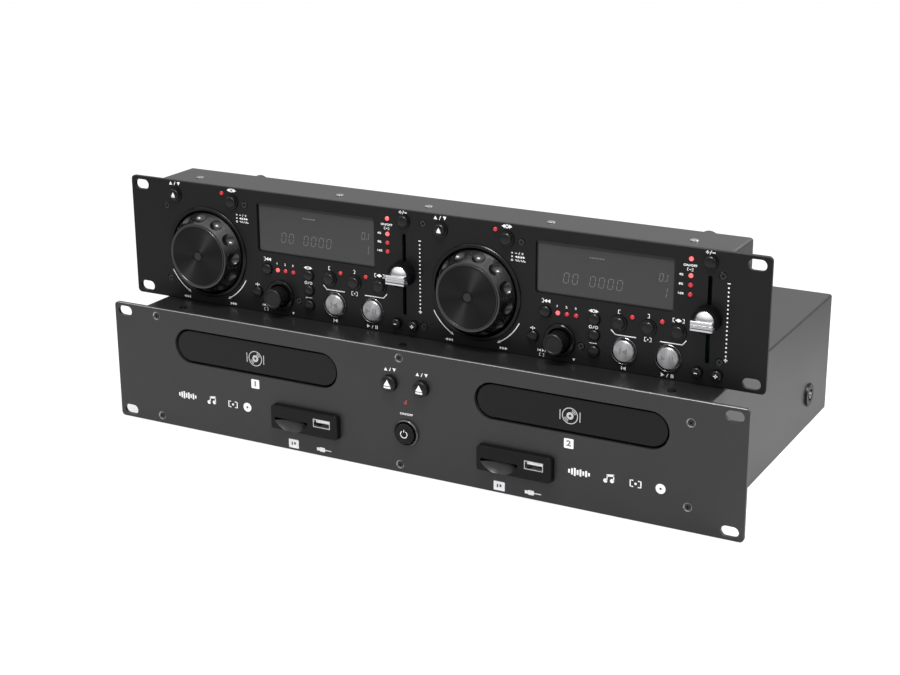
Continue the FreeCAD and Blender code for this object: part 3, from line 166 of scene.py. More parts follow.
LED_LEVELS = {
    "jog": (14.2, 83.2, "led_dim"),
    "source_1": (59.6, 32.8, "led_lit"),
    "source_2": (66.1, 32.8, "led_dim"),
    "source_3": (72.6, 32.8, "led_dim"),
    "in": (111.4, 37.5, "led_dim"),
    "out": (131.6, 37.5, "led_dim"),
    "pitch": (149.2, 80.7, "led_lit"),
    "range_4": (149.3, 70.0, "led_lit"),
    "range_8": (149.3, 63.9, "led_dim"),
    "range_16": (149.3, 57.8, "led_dim"),
}

# Camera, in metres and degrees.
CAMERA_PLACE = (0.55047, -1.07792, 0.45975)
CAMERA_TURN = (71.67376, 0.29190, 28.39918)
CAMERA_LENS = 69.668

# Light.
FLOOR_GLOW = 0.66
FALL_CENTRE = (-0.28, -0.22, 0.0)
FALL_NEAR = 0.10
FALL_FAR = 0.85
SKY_LOW = 0.15
SKY_HIGH = 1.25


def on_deck(deck, x, z):
    """A deck's own place, in the frame."""
    return DECK_X[deck] + x, CONTROLLER_FOOT + z


# -------------------------------------------------------------------- materials
def tinted(colour, share):
    return [min(1.0, max(0.0, part * share)) for part in colour] + [1.0]


class Surface:
    """A Principled material whose colour, roughness and height vary with noise."""

    def __init__(self, name, colour, roughness, metallic=0.0, coat=0.0):
        self.name = name
        self.material = bpy.data.materials.new(name)
        self.material.use_nodes = True
        self.tree = self.material.node_tree
        self.shader = self.tree.nodes["Principled BSDF"]
        self.shader.inputs["Base Color"].default_value = list(colour) + [1.0]
        self.shader.inputs["Roughness"].default_value = roughness
        self.shader.inputs["Metallic"].default_value = metallic
        self.shader.inputs["Coat Weight"].default_value = coat
        self.shader.inputs["Coat Roughness"].default_value = 0.06
        self.colour = colour
        self.roughness = roughness

    def node(self, kind, **values):
        made = self.tree.nodes.new(kind)
        for key, value in values.items():
            made.inputs[key.replace("_", " ")].default_value = value
        return made

    def link(self, start, end):
        self.tree.links.new(start, end)

    def noise(self, scale, detail=3.0, stretch=(1.0, 1.0, 1.0)):
        coords = self.tree.nodes.new("ShaderNodeTexCoord")
        mapping = self.node("ShaderNodeMapping", Scale=stretch)
        texture = self.node("ShaderNodeTexNoise", Scale=scale, Detail=detail)
        self.link(coords.outputs["Object"], mapping.inputs["Vector"])
        self.link(mapping.outputs["Vector"], texture.inputs["Vector"])
        return texture.outputs["Fac"]

    def mottle(self, scale, spread, stretch=(1.0, 1.0, 1.0)):
        """The colour wanders between a darker and a lighter tone."""
        mix = self.tree.nodes.new("ShaderNodeMix")
        mix.data_type = "RGBA"
        mix.inputs[6].default_value = tinted(self.colour, 1.0 - spread)
        mix.inputs[7].default_value = tinted(self.colour, 1.0 + spread)
        self.link(self.noise(scale, 4.0, stretch), mix.inputs[0])
        self.link(mix.outputs[2], self.shader.inputs["Base Color"])
        return self

    def smudge(self, scale, spread):
        """The roughness wanders, as on a surface that hands have touched."""
        span = self.node("ShaderNodeMapRange")
        span.inputs["To Min"].default_value = max(0.02, self.roughness - spread)
        span.inputs["To Max"].default_value = min(1.0, self.roughness + spread)
        self.link(self.noise(scale), span.inputs["Value"])
        self.link(span.outputs["Result"], self.shader.inputs["Roughness"])
        return self

    def grain(self, scale, depth, stretch=(1.0, 1.0, 1.0)):
        """A fine relief, depth in millimetres."""
        bump = self.node("ShaderNodeBump", Strength=1.0, Distance=depth * MM)
        self.link(self.noise(scale, 2.0, stretch), bump.inputs["Height"])
        self.link(bump.outputs["Normal"], self.shader.inputs["Normal"])
        return self

    def radial_sheen(self, amount):
        """Reflections stretch along the radius, as on a disc turned on a lathe."""
        tangent = self.tree.nodes.new("ShaderNodeTangent")
        tangent.direction_type = "RADIAL"
        tangent.axis = "Y"
        self.shader.inputs["Anisotropic"].default_value = amount
        self.shader.inputs["Anisotropic Rotation"].default_value = 0.25
        self.link(tangent.outputs["Tangent"], self.shader.inputs["Tangent"])
        return self

    def lower_gloss(self, level):
        self.shader.inputs["Specular IOR Level"].default_value = level
        return self

    def glow(self, colour, strength):
        self.shader.inputs["Emission Color"].default_value = list(colour) + [1.0]
        self.shader.inputs["Emission Strength"].default_value = strength
        return self


def dark(name, level, roughness, metallic=0.0):
    """A near-black surface, whose three channels are all but equal."""
    return Surface(name, (level, level, level * 1.03), roughness, metallic)


def paints():
    """The face plates, the folded sheet and the moulded plastic."""
    return [
        dark("player_plate", 0.024, 0.38)
        .lower_gloss(0.34).mottle(30, 0.12).smudge(9, 0.05).grain(2600, 0.004),
        dark("controller_plate", 0.0105, 0.34)
        .lower_gloss(0.12).mottle(30, 0.12).smudge(9, 0.05).grain(2600, 0.003),
        # Lighter grey for the player plate's top rim: a painted highlight line.
        dark("plate_edge", 0.22, 0.35).mottle(60, 0.15).smudge(30, 0.06),
        dark("cover_paint", 0.010, 0.34).mottle(60, 0.15).smudge(7, 0.06).grain(1500, 0.010),
        dark("chassis_paint", 0.022, 0.45).mottle(60, 0.15).smudge(7, 0.06).grain(1500, 0.012),
        dark("tray_front", 0.004, 0.26)
        .lower_gloss(0.22).mottle(80, 0.1).smudge(14, 0.06).grain(1800, 0.005),
        dark("tray_plastic", 0.016, 0.5).mottle(90, 0.12).smudge(14, 0.06).grain(1500, 0.01),
        dark("port_plastic", 0.006, 0.32)
        .lower_gloss(0.14).mottle(90, 0.12).smudge(20, 0.05).grain(1800, 0.006),
        dark("port_scoop", 0.008, 0.25)
        .lower_gloss(0.5).mottle(90, 0.12).smudge(20, 0.05).grain(1800, 0.004),
        dark("frame_plastic", 0.03, 0.55).mottle(70, 0.15).smudge(30, 0.06).grain(1200, 0.01),
        dark("button_black", 0.006, 0.30)
        .lower_gloss(0.3).mottle(200, 0.2).smudge(60, 0.08).grain(2400, 0.004),
        dark("gloss_black", 0.003, 0.15).lower_gloss(0.2).mottle(200, 0.2).smudge(40, 0.05),
        dark("jog_black", 0.003, 0.24)
        .lower_gloss(0.8).mottle(120, 0.2).smudge(40, 0.05).grain(900, 0.003),
        dark("rubber", 0.003, 0.42)
        .lower_gloss(0.1).mottle(300, 0.2).smudge(60, 0.06).grain(1800, 0.01),
        dark("knob_black", 0.006, 0.34)
        .lower_gloss(0.28).mottle(300, 0.2).smudge(60, 0.06).grain(1800, 0.006),
        dark("screw_black", 0.003, 0.30)
        .lower_gloss(0.12).mottle(500, 0.3).smudge(200, 0.1).grain(2500, 0.006),
        dark("socket_black", 0.012, 0.4).mottle(200, 0.2).smudge(60, 0.06).grain(1500, 0.008),
    ]


def metals():
    along = (1.0, 1.0, 14.0)
    return [
        dark("jog_disc", 0.034, 0.58, metallic=1.0).mottle(60, 0.1).radial_sheen(0.93),
        dark("jog_hub", 0.05, 0.35, metallic=1.0).mottle(200, 0.1).smudge(80, 0.05),
        # The disc's rim, lighter and glossier than the disc: a painted highlight line.
        dark("disc_rim_highlight", 0.05, 0.25, metallic=1.0).mottle(200, 0.1).smudge(80, 0.05),
        dark("silver", 0.72, 0.24, metallic=1.0)
        .mottle(400, 0.06, along).smudge(90, 0.05).grain(1500, 0.002, along),
        # Dark metal on the walls of the fader bar's grooves: painted shade.
        dark("groove_shade", 0.12, 0.35, metallic=0.8).mottle(400, 0.1).smudge(90, 0.05),
        dark("silver_cap", 0.50, 0.45, metallic=1.0)
        .mottle(160, 0.12).smudge(120, 0.08).radial_sheen(0.7),
        dark("dark_chrome", 0.25, 0.2, metallic=1.0).mottle(200, 0.1).smudge(80, 0.06),
        dark("steel", 0.62, 0.24, metallic=1.0)
        .mottle(300, 0.08).smudge(90, 0.06).grain(1200, 0.004),
        dark("screw_steel", 0.28, 0.35, metallic=0.7).mottle(300, 0.1).smudge(90, 0.06),
        dark("screw_face", 0.055, 0.35, metallic=0.8).mottle(300, 0.1).smudge(90, 0.06),
        # A dim painted highlight line, for the bevels of the rings round the jog wheels.
        dark("bezel_highlight", 0.03, 0.25, metallic=1.0).mottle(300, 0.1).smudge(90, 0.05),
        dark("screw_dish", 0.32, 0.15, metallic=1.0).mottle(300, 0.1).smudge(90, 0.05),
        # A painted highlight line, for the bevels of the button rings and the power ring.
        dark("ring_highlight", 0.16, 0.2, metallic=1.0).mottle(300, 0.1).smudge(90, 0.05),
    ]


def glassy_and_printed():
    return [
        dark("window", 0.026, 0.16).mottle(25, 0.15).smudge(12, 0.05),
        # The dark border behind each display window, partly painted shade of the recess at its top
        # and left.
        dark("window_border_shade", 0.003, 0.2).mottle(40, 0.15).smudge(20, 0.05),
        dark("segment", 0.13, 0.35).mottle(200, 0.1).smudge(50, 0.04),
        dark("tray_ink", 0.42, 0.5).mottle(900, 0.04).smudge(200, 0.05),
        dark("ink", 0.80, 0.5).mottle(900, 0.04).smudge(200, 0.05),
        dark("engraving", 0.16, 0.4).mottle(900, 0.1).smudge(200, 0.05),
        Surface("led_lit", (0.7, 0.05, 0.06), 0.2, coat=0.5)
        .mottle(600, 0.1).glow((1.0, 0.16, 0.17), 0.9),
        Surface("led_dim", (0.4, 0.012, 0.02), 0.2, coat=0.5)
        .mottle(600, 0.1).glow((0.8, 0.02, 0.03), 0.16),
        Surface("led_off", (0.25, 0.008, 0.014), 0.2, coat=0.5).mottle(600, 0.1).smudge(90, 0.04),
        Surface("board", (0.01, 0.07, 0.03), 0.4, coat=0.3)
        .mottle(90, 0.3).smudge(40, 0.1).grain(900, 0.02),
        Surface("tongue", (0.8, 0.8, 0.78), 0.4).mottle(200, 0.06).smudge(60, 0.06),
        Surface("socket_red", (0.4, 0.02, 0.02), 0.4).mottle(200, 0.15).smudge(60, 0.06),
        Surface("socket_white", (0.65, 0.65, 0.62), 0.4).mottle(200, 0.06).smudge(60, 0.06),
    ]


SURFACES = paints() + metals() + glassy_and_printed()
MATERIALS = {surface.name: surface.material for surface in SURFACES}


# ------------------------------------------------------------------ mesh makers
def piece(name, mesh, material, body, smooth_angle=None):
    """A finished piece that rides on a body. Its faces are smooth below the angle."""
    made = bpy.data.objects.new(name, mesh)
    bpy.context.scene.collection.objects.link(made)
    mesh.materials.clear()
    mesh.materials.append(MATERIALS[material])
    if smooth_angle is not None:
        smooth(mesh, smooth_angle)
    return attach(made, body)


def smooth(mesh, angle):
    """Smooth shading, with the edges above the angle kept sharp."""
    mesh.shade_smooth()
    mesh.set_sharp_from_angle(angle=math.radians(angle))


def mesh_of(name, points, faces):
    """A mesh from points in millimetres."""
    mesh = bpy.data.meshes.new(name)
    mesh.from_pydata([tuple(part * MM for part in point) for point in points], [], faces)
    mesh.validate()
    return mesh


def joined(name, meshes):
    """One mesh from several."""
    whole = bmesh.new()
    for mesh in meshes:
        whole.from_mesh(mesh)
        bpy.data.meshes.remove(mesh)
    made = bpy.data.meshes.new(name)
    whole.to_mesh(made)
    whole.free()
    return made


def lathe(name, x, z, outline, segments):
    """Turns (radius, y) points about the line along Y through (x, z). A point on it is a pole."""
    points = []
    faces = []
    rings = []
    for radius, y in outline:
        if radius < ON_AXIS:
            rings.append([len(points)])
            points.append((x, y, z))
            continue
        ring = []
        for step in range(segments):
            angle = 2 * math.pi * step / segments
            ring.append(len(points))
            points.append((x + radius * math.cos(angle), y, z + radius * math.sin(angle)))
        rings.append(ring)
    for first, second in zip(rings, rings[1:]):
        for step in range(segments):
            after = (step + 1) % segments
            if len(first) == 1:
                faces.append((first[0], second[after], second[step]))
            elif len(second) == 1:
                faces.append((first[step], first[after], second[0]))
            else:
                faces.append((first[step], first[after], second[after], second[step]))
    mesh = mesh_of(name, points, faces)
    if outline[0][1] > outline[-1][1]:
        mesh.flip_normals()
    return mesh


def slab(name, loops, front, depth, ease=0.0):
    """A flat plate across Y from closed (x, z) loops, inner ones being holes, its face at front."""
    curve = bpy.data.curves.new(name, "CURVE")
    curve.dimensions = "2D"
    curve.fill_mode = "BOTH"
    curve.extrude = (depth / 2 - ease) * MM
    curve.bevel_depth = ease * MM
    curve.bevel_resolution = 2
    for loop in loops:
        spline = curve.splines.new("POLY")
        spline.points.add(len(loop) - 1)
        for point, (x, z) in zip(spline.points, loop):
            point.co = (x * MM, z * MM, 0.0, 1.0)
        spline.use_cyclic_u = True
    if ease:
        curve.offset = -ease * MM
    return standing(name, curve, front + depth / 2)


def words(text, x, z, size, weight, front):
    """A line of lettering centred on (x, z), standing across Y."""
    curve = bpy.data.curves.new("word", "FONT")
    curve.body = text
    curve.size = size * MM
    curve.align_x = "CENTER"
    curve.align_y = "CENTER"
    curve.offset = weight * MM
    curve.extrude = INK_THICKNESS / 2 * MM
    curve.resolution_u = 3
    curve.space_character = 1.06
    mesh = standing("word", curve, front + INK_THICKNESS / 2)
    stretch = Matrix.Diagonal((LETTER_STRETCH, 1.0, 1.0, 1.0))
    mesh.transform(Matrix.Translation((x * MM, 0.0, z * MM)) @ stretch)
    return mesh


def standing(name, curve, y):
    """The mesh of a flat curve, stood up so that it faces the front at y."""
    holder = bpy.data.objects.new(name, curve)
    bpy.context.scene.collection.objects.link(holder)
    graph = bpy.context.evaluated_depsgraph_get()
    mesh = bpy.data.meshes.new_from_object(holder.evaluated_get(graph))
    bpy.data.objects.remove(holder)
    bpy.data.curves.remove(curve)
    mesh.transform(Matrix.Translation((0.0, y * MM, 0.0)) @ Matrix.Rotation(math.pi / 2, 4, "X"))
    return mesh


# ----------------------------------------------------------------- flat outlines
def circle(x, z, radius, steps=48):
    angles = [2 * math.pi * step / steps for step in range(steps)]
    return [(x + radius * math.cos(a), z + radius * math.sin(a)) for a in angles]


def block(x, z, width, height):
    w = width / 2
    h = height / 2
    return [(x - w, z - h), (x + w, z - h), (x + w, z + h), (x - w, z + h)]


def soft_block(x, z, width, height, radius, steps=5):
    made = []
    for quarter, (side, rise) in enumerate(((1, 1), (-1, 1), (-1, -1), (1, -1))):
        centre_x = x + side * (width / 2 - radius)
        centre_z = z + rise * (height / 2 - radius)
        for step in range(steps + 1):
            angle = math.pi / 2 * (quarter + step / steps)
            made.append((centre_x + radius * math.cos(angle), centre_z + radius * math.sin(angle)))
    return made


def ribbon(points, width):
    """The outline of a line of that width through the points."""
    left = []
    right = []
    for index, point in enumerate(points):
        here = Vector(point)
        before = Vector(points[max(index - 1, 0)])
        after = Vector(points[min(index + 1, len(points) - 1)])
        along = (after - before).normalized()
        across = Vector((-along.y, along.x)) * width / 2
        left.append(tuple(here + across))
        right.append(tuple(here - across))
    return left + right[::-1]


def bow(x, z, radius, start, end, steps=24):
    """Points along an arc, its angles in degrees."""
    angles = [math.radians(start + (end - start) * step / steps) for step in range(steps + 1)]
    return [(x + radius * math.cos(a), z + radius * math.sin(a)) for a in angles]


def arrow_head(tip, towards, length, width):
    """A triangle whose tip points along towards, an angle in degrees."""
    along = Vector((math.cos(math.radians(towards)), math.sin(math.radians(towards))))
    across = Vector((-along.y, along.x))
    base = Vector(tip) - along * length
    return [tuple(tip), tuple(base + across * width / 2), tuple(base - across * width / 2)]


# ------------------------------------------------------------- the CAD's own nodes
def finish_of(node):
    """The material of a whole CAD node, by its name."""
    stem = node.rstrip("12").rstrip("_")
    return {
        "player_front_panel": "player_plate",
        "controller_front_panel": "controller_plate",
        "player_cover": "cover_paint",
        "controller_case": "cover_paint",
        "player_chassis": "chassis_paint",
        "player_screws": "screw_black",
        "controller_screws": "screw_black",
        "player_boards": "board",
        "controller_board": "board",
        "disc_drives": "frame_plastic",
        "media_ports": "port_plastic",
        "rear_sockets": "socket_black",
        "controller_sockets": "socket_black",
        "display_windows": "window",
        "bezel_rings": "gloss_black",
        "jog_wheel": "jog_black",
        "jog_disc": "jog_disc",
        "track_knob": "knob_black",
        "pitch_fader": "silver",
        "tray": "tray_plastic",
        "tray_front": "tray_front",
        "cue_button": "silver_cap",
        "play_button": "silver_cap",
        "power_button": "gloss_black",
        "eject_button": "button_black",
    }.get(stem, "button_black")


def paint(node, material, test):
    """Gives that material to the faces of a node whose centre, in millimetres, passes the test."""
    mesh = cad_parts[node].data
    slot = len(mesh.materials)
    mesh.materials.append(MATERIALS[material])
    for face in mesh.polygons:
        if test(face.center / MM):
            face.material_index = slot


def dress_nodes():
    """One material on each whole CAD node."""
    for name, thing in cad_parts.items():
        thing.data.materials.clear()
        thing.data.materials.append(MATERIALS[finish_of(name)])
        for face in thing.data.polygons:
            face.material_index = 0


# ------------------------------------------------------------------ marks and signs
def triangle(x, z, size, towards):
    """A solid triangle whose point looks along towards, in degrees."""
    turn = math.radians(towards)
    tip = (x + size / 2 * math.cos(turn), z + size / 2 * math.sin(turn))
    return arrow_head(tip, towards, size, size * 1.1)


def bracket(x, z, size, bar, side):
    """A square bracket as an open line. It opens towards +X for side 1, and -X for side -1."""
    return [
        (x + side * bar, z - size / 2),
        (x - side * bar, z - size / 2),
        (x - side * bar, z + size / 2),
        (x + side * bar, z + size / 2),
    ]


def sign_loops(kind, x, z, size):
    """One small sign, as (shapes, width). A shape is a list of loops, the later ones holes."""
    bar = size * 0.24
    thin = bar * 0.8
    half = size / 2
    turns = {"<": 180, ">": 0, "^": 90, "v": 270}
    if kind in turns:
        return [[triangle(x, z, size * 0.95, turns[kind])]], size * 0.95
    if kind == "|":
        return [[block(x, z, bar, size)]], bar * 2.0
    if kind == "-":
        return [[block(x, z, size * 0.8, bar)]], size * 0.95
    if kind == "+":
        return [[block(x, z, size * 0.85, bar)], [block(x, z, bar, size * 0.85)]], size
    if kind == "/":
        reach = size * 0.22
        return [[ribbon([(x - reach, z - half), (x + reach, z + half)], thin)]], size * 0.7
    if kind == "o":
        return [[circle(x, z, size * 0.5, 24), circle(x, z, size * 0.28, 20)]], size * 1.1
    if kind == ".":
        return [[circle(x, z, size * 0.2, 12)]], size * 0.55
    if kind in "[]":
        side = 1 if kind == "[" else -1
        return [[ribbon(bracket(x, z, size, bar, side), thin)]], size * 0.7
    if kind == "~":
        rise = size * 0.32
        steps = range(17)
        wave = [(x + size * (t / 8 - 1.0), z + rise * math.sin(t * math.pi / 4)) for t in steps]
        return [[ribbon(wave, thin)]], size * 2.3
    return [], size * 0.5


class Ink:
    """Gathers flat marks on one face, to be joined into one piece."""

    def __init__(self, face, place):
        self.front = face + INK_SINK - INK_THICKNESS
        self.place = place
        self.meshes = []

    def word(self, text, x, z, size, weight=LETTER_WEIGHT):
        x, z = self.place(x, z)
        self.meshes.append(words(text, x, z, size, weight, self.front))

    def shape(self, *loops):
        moved = [[self.place(x, z) for x, z in loop] for loop in loops]
        self.meshes.append(slab("mark", moved, self.front, INK_THICKNESS))

    def line(self, points, width):
        self.shape(ribbon(points, width))

    def signs(self, kinds, x, z, size=1.9, left=False):
        """A row of signs, centred on x or starting there."""
        widths = [sign_loops(kind, 0, 0, size)[1] for kind in kinds]
        at = x if left else x - sum(widths) / 2
        for kind, width in zip(kinds, widths):
            for loops in sign_loops(kind, at + width / 2, z, size)[0]:
                self.shape(*loops)
            at += width

    def finish(self, name, body, material="ink"):
        return piece(name, joined(name, self.meshes), material, body)


def controller_legends(deck):
    """The white print of one deck: plain signs and numbers."""
    ink = Ink(CONTROLLER_FACE, lambda x, z: on_deck(deck, x, z))
    ink.signs("^ / v", -26.8, 85.8, 2.6)
    ink.signs("<o>", 22.5, 86.0, 2.6)
    for z, kinds in ((68.9, "- / +"), (66.5, "<< >>"), (64.1, "~~")):
        ink.signs(kinds, 28.4, z, 1.7, left=True)
    ink.shape(circle(26.3, 68.9, 0.5, 16))
    ink.shape(block(26.3, 66.5, 0.95, 0.95))
    ink.shape(circle(26.3, 64.1, 0.75, 20), circle(26.3, 64.1, 0.4, 16))
    ink.signs("]<<", 50.9, 39.8, 2.4)
    for number, x in enumerate((59.0, 65.6, 72.1)):
        ink.word(str(number + 1), x, 37.4, 2.0)
    ink.signs(".|.", 41.7, 20.0, 2.4)
    ink.signs("|< >|", 48.2, 5.6, 1.8)
    ink.signs("[ ]", 48.4, 2.7, 1.8)
    ink.signs("v", 71.3, 2.7, 1.8)
    for kinds, z in (("<o>", 37.7), ("o/o", 26.9), ("-.-", 16.1)):
        ink.signs(kinds, 84.7, z, 2.3)
    for kinds, x in (("[", 102.3), ("]", 122.2), ("[<>]", 142.3)):
        ink.signs(kinds, x, 39.8, 2.4)
    ink.line([(96.95, 27.2), (99.9, 24.3), (114.2, 24.3)], 0.6)
    ink.line([(130.45, 24.3), (145.3, 24.3), (147.95, 27.4)], 0.6)
    loop_mark(ink, 122.2, 24.3, 2.6)
    ink.signs("|<", 106.0, 2.6, 2.4)
    ink.signs("> / ||", 136.1, 2.6, 2.4)
    ink.word("ON/OFF", 148.6, 76.4, 1.9)
    ink.signs("[-]", 148.6, 73.8, 1.7)
    for share, z in (("4%", 70.0), ("8%", 63.9), ("16%", 57.8)):
        ink.word(share, 142.9, z, 1.9)
    ink.signs("+/-", 161.4, 86.2, 2.5)
    pitch_scale(ink)
    jog_arrows(ink)
    return ink.finish(f"legends_{deck}", "controller")


def pitch_scale(ink):
    """The dotted scale beside the pitch fader."""
    ink.signs("-", 174.0, 68.1, 2.5)
    ink.signs("+", 174.0, 18.6, 2.7)
    for step in range(17):
        ink.shape(circle(174.0, 65.3 - 2.75 * step, 0.55, 12))


def jog_arrows(ink):
    """Two arcs round the lower half of the jog wheel, with double arrows under them."""
    radius = 36.0
    for start, end, turn in ((207.5, 240.0, 322.0), (-27.5, -62.0, 214.0)):
        ink.line(bow(0, JOG_Z, radius, start, end), 0.6)
        angle = math.radians(end)
        tip = Vector((radius * math.cos(angle), JOG_Z + radius * math.sin(angle)))
        along = Vector((math.cos(math.radians(turn)), math.sin(math.radians(turn))))
        ink.shape(arrow_head(tuple(tip + along * 1.4), turn, 2.4, 2.0))
    ink.signs("<<<", -20.5, 2.6, 2.0)
    ink.signs(">>>", 20.5, 2.6, 2.0)


def loop_mark(ink, x, z, size):
    """A dot between brackets, for a stretch of music marked at both ends."""
    ink.signs("[.]", x, z, size)


def player_legends():
    """The white print of the player: numbered tiles, plain signs and numbers."""
    ink = Ink(PLAYER_FACE, lambda x, z: (x, z))
    for x in TILE_X:
        ink.shape(soft_block(x, TILE_Z, 6.7, 6.7, 0.6))
    for x in EJECT_X:
        ink.signs("^ / v", x, 73.0, 2.5)
    ink.word("ON/OFF", 2.4, 43.0, 2.1)
    for places in MARK_PLACES:
        level_bars(ink, places[0])
        notes(ink, places[1])
        loop_mark(ink, places[2], MARK_Z, 4.2)
        disc_mark(ink, places[3])
    for x in CARD_TILE_X:
        card_tile(ink, x, 4.9)
    for x in PLUG_MARK_X:
        plug_mark(ink, x, 4.7)
    ink.finish("player_legends", "player")
    numbers = Ink(PLAYER_FACE - INK_THICKNESS, lambda x, z: (x, z))
    for number, x in enumerate(TILE_X, start=1):
        numbers.word(str(number), x, TILE_Z, 5.2, weight=0.22)
    numbers.finish("tile_numbers", "player", "engraving")


def card_tile(ink, x, z):
    """A white tile with two holes, under each card slot."""
    holes = [block(x - 1.3, z, 1.0, 2.4), block(x + 0.9, z + 0.3, 1.4, 1.8)]
    ink.shape(soft_block(x, z, 8.2, 6.4, 0.5), *holes)


def plug_mark(ink, x, z):
    """A plug and its lead, under each memory socket."""
    ink.shape(soft_block(x - 1.6, z, 4.6, 3.2, 0.7))
    ink.shape(block(x - 5.0, z, 2.0, 2.2))
    ink.line([(x + 0.6, z), (x + 5.8, z)], 0.6)


def level_bars(ink, x):
    """A row of upright bars, for sound."""
    for step, height in enumerate((2.6, 4.2, 5.4, 3.4, 4.8, 2.8, 4.2, 2.2)):
        ink.shape(block(x - 7.0 + 2.0 * step, MARK_Z, 1.3, height))


def notes(ink, x):
    """Two notes under a beam, for music."""
    ink.shape(circle(x - 2.4, MARK_Z - 1.8, 1.4, 24))
    ink.shape(circle(x + 2.2, MARK_Z - 1.3, 1.4, 24))
    ink.line([(x - 1.3, MARK_Z - 1.8), (x - 1.3, MARK_Z + 2.2)], 0.7)
    ink.line([(x + 3.3, MARK_Z - 1.3), (x + 3.3, MARK_Z + 2.8)], 0.7)
    ink.line([(x - 1.6, MARK_Z + 1.9), (x + 3.6, MARK_Z + 2.6)], 1.5)


def disc_mark(ink, x):
    """A plain disc with a hole."""
    ink.shape(circle(x, MARK_Z, 3.35, 48), circle(x, MARK_Z, 0.8, 24))


def tray_marks():
    """A plain disc sign on each tray's front: rings about a hole."""
    for deck, x in zip(DECKS, TRAY_MARK_X):
        front = corners(f"tray_front_{deck}")[0].y
        ink = Ink(front, lambda x, z: (x, z))
        for outer, inner in ((5.6, 5.0), (2.5, 0.9)):
            ink.shape(circle(x, TRAY_MARK_Z, outer, 48), circle(x, TRAY_MARK_Z, inner, 32))
        for radius in (3.3, 4.2):
            ink.line(bow(x, TRAY_MARK_Z, radius, 20, 70, 10), 0.45)
            ink.line(bow(x, TRAY_MARK_Z, radius, 200, 250, 10), 0.45)
        for edge in (x - 7.0, x + 7.0):
            ink.line([(edge, TRAY_MARK_Z - 3.4), (edge, TRAY_MARK_Z + 3.4)], 0.6)
        ink.finish(f"tray_mark_{deck}", f"tray_{deck}_body", "tray_ink")


# ------------------------------------------------------------------- marks on caps
def cap_mark(node, crown, radius, draw, material="ink"):
    """A mark laid on a button's domed cap, which rides with it."""
    low, high = corners(node)
    axis = (low + high) / 2
    ink = Ink(low.y, lambda x, z: (axis.x + x, axis.z + z))
    draw(ink)
    mark = ink.finish(node + "_mark", node + "_body", material)
    divide(mark.data, 0.5)
    for vertex in mark.data.vertices:
        reach = math.hypot(vertex.co.x / MM - axis.x, vertex.co.z / MM - axis.z)
        domed = vertex.co.y + (crown * (reach / radius) ** 2 + 0.01) * MM
        vertex.co.y = max(domed, low.y * MM)


def divide(mesh, longest):
    """Splits a mesh's edges until none is longer than that many millimetres."""
    made = bmesh.new()
    made.from_mesh(mesh)
    bmesh.ops.triangulate(made, faces=made.faces)
    for _ in range(5):
        edges = [edge for edge in made.edges if edge.calc_length() > longest * MM]
        if not edges:
            break
        bmesh.ops.subdivide_edges(made, edges=edges, cuts=1)
        bmesh.ops.triangulate(made, faces=made.faces)
    made.to_mesh(mesh)
    made.free()


def open_sign(ink):
    ink.shape(arrow_head((0.0, 2.0), 90, 2.7, 3.0))
    ink.shape(block(0.0, -1.3, 3.0, 0.75))


def eject_sign(ink):
    ink.shape(arrow_head((0.0, 3.4), 90, 4.3, 5.2))
    ink.shape(block(0.0, -2.1, 5.2, 1.3))


def power_sign(ink):
    ink.line(bow(0.0, 0.0, 2.5, 125, 415, 32), 0.55)
    ink.line([(0.0, 1.5), (0.0, 3.3)], 0.55)


def cue_sign(ink):
    ink.signs("|<", 0.0, 0.0, 4.0)


def play_sign(ink):
    ink.signs("> ||", 0.0, 0.0, 3.6)


def cap_marks():
    """The signs on the buttons that have one."""
    for deck in DECKS:
        cap_mark(f"open_close_button_{deck}", 0.3, 4.0, open_sign)
        cap_mark(f"eject_button_{deck}", 0.8, 5.5, eject_sign)
        cap_mark(f"minus_button_{deck}", 0.3, 3.3, lambda ink: ink.signs("-", 0.0, 0.0, 2.6))
        cap_mark(f"plus_button_{deck}", 0.3, 3.3, lambda ink: ink.signs("+", 0.0, 0.0, 3.0))
        cap_mark(f"cue_button_{deck}", 0.5, 7.2, cue_sign, "engraving")
        cap_mark(f"play_button_{deck}", 0.5, 7.2, play_sign, "engraving")
    cap_mark("power_button", 0.5, 7.3, power_sign)


# ------------------------------------------------------------------- display marks
SEGMENTS = {
    "a": ((0, 1), (1, 1)),
    "b": ((1, 1), (1, 0.5)),
    "c": ((1, 0.5), (1, 0)),
    "d": ((0, 0), (1, 0)),
    "e": ((0, 0), (0, 0.5)),
    "f": ((0, 0.5), (0, 1)),
    "g": ((0, 0.5), (1, 0.5)),
}
DIGITS = {"0": "abcdef", "1": "bc"}
LEAN = 0.14


def display_digit(ink, digit, x, z, width, height):
    """One figure of leaning strokes, its lower left corner at (x, z)."""
    for name in DIGITS[digit]:
        ends = []
        for across, up in SEGMENTS[name]:
            inset = 0.07 if across == 0 else -0.07
            ends.append((x + (across + inset) * width + up * height * LEAN, z + up * height))
        (x0, z0), (x1, z1) = ends
        trim = 0.12
        start = (x0 + (x1 - x0) * trim, z0 + (z1 - z0) * trim)
        end = (x1 + (x0 - x1) * trim, z1 + (z0 - z1) * trim)
        ink.line([start, end], 0.42)


def display_marks(deck):
    """The faint figures that the resting display shows."""
    ink = Ink(DISPLAY_FACE, lambda x, z: on_deck(deck, x, z))
    for place in (62.0, 68.2, 80.4, 86.6, 92.8, 99.0):
        display_digit(ink, "0", place, 53.2, 4.0, 6.7)
    display_digit(ink, "0", 127.6, 63.2, 2.7, 5.0)
    display_digit(ink, "1", 130.6, 63.2, 2.7, 5.0)
    ink.shape(circle(132.0, 63.5, 0.35, 10))
    display_digit(ink, "1", 129.6, 52.8, 3.4, 6.7)
    for step in range(6):
        ink.shape(block(81.0 + 1.8 * step, 72.2, 1.1, 0.8))
    return ink.finish(f"display_marks_{deck}", "controller", "segment")


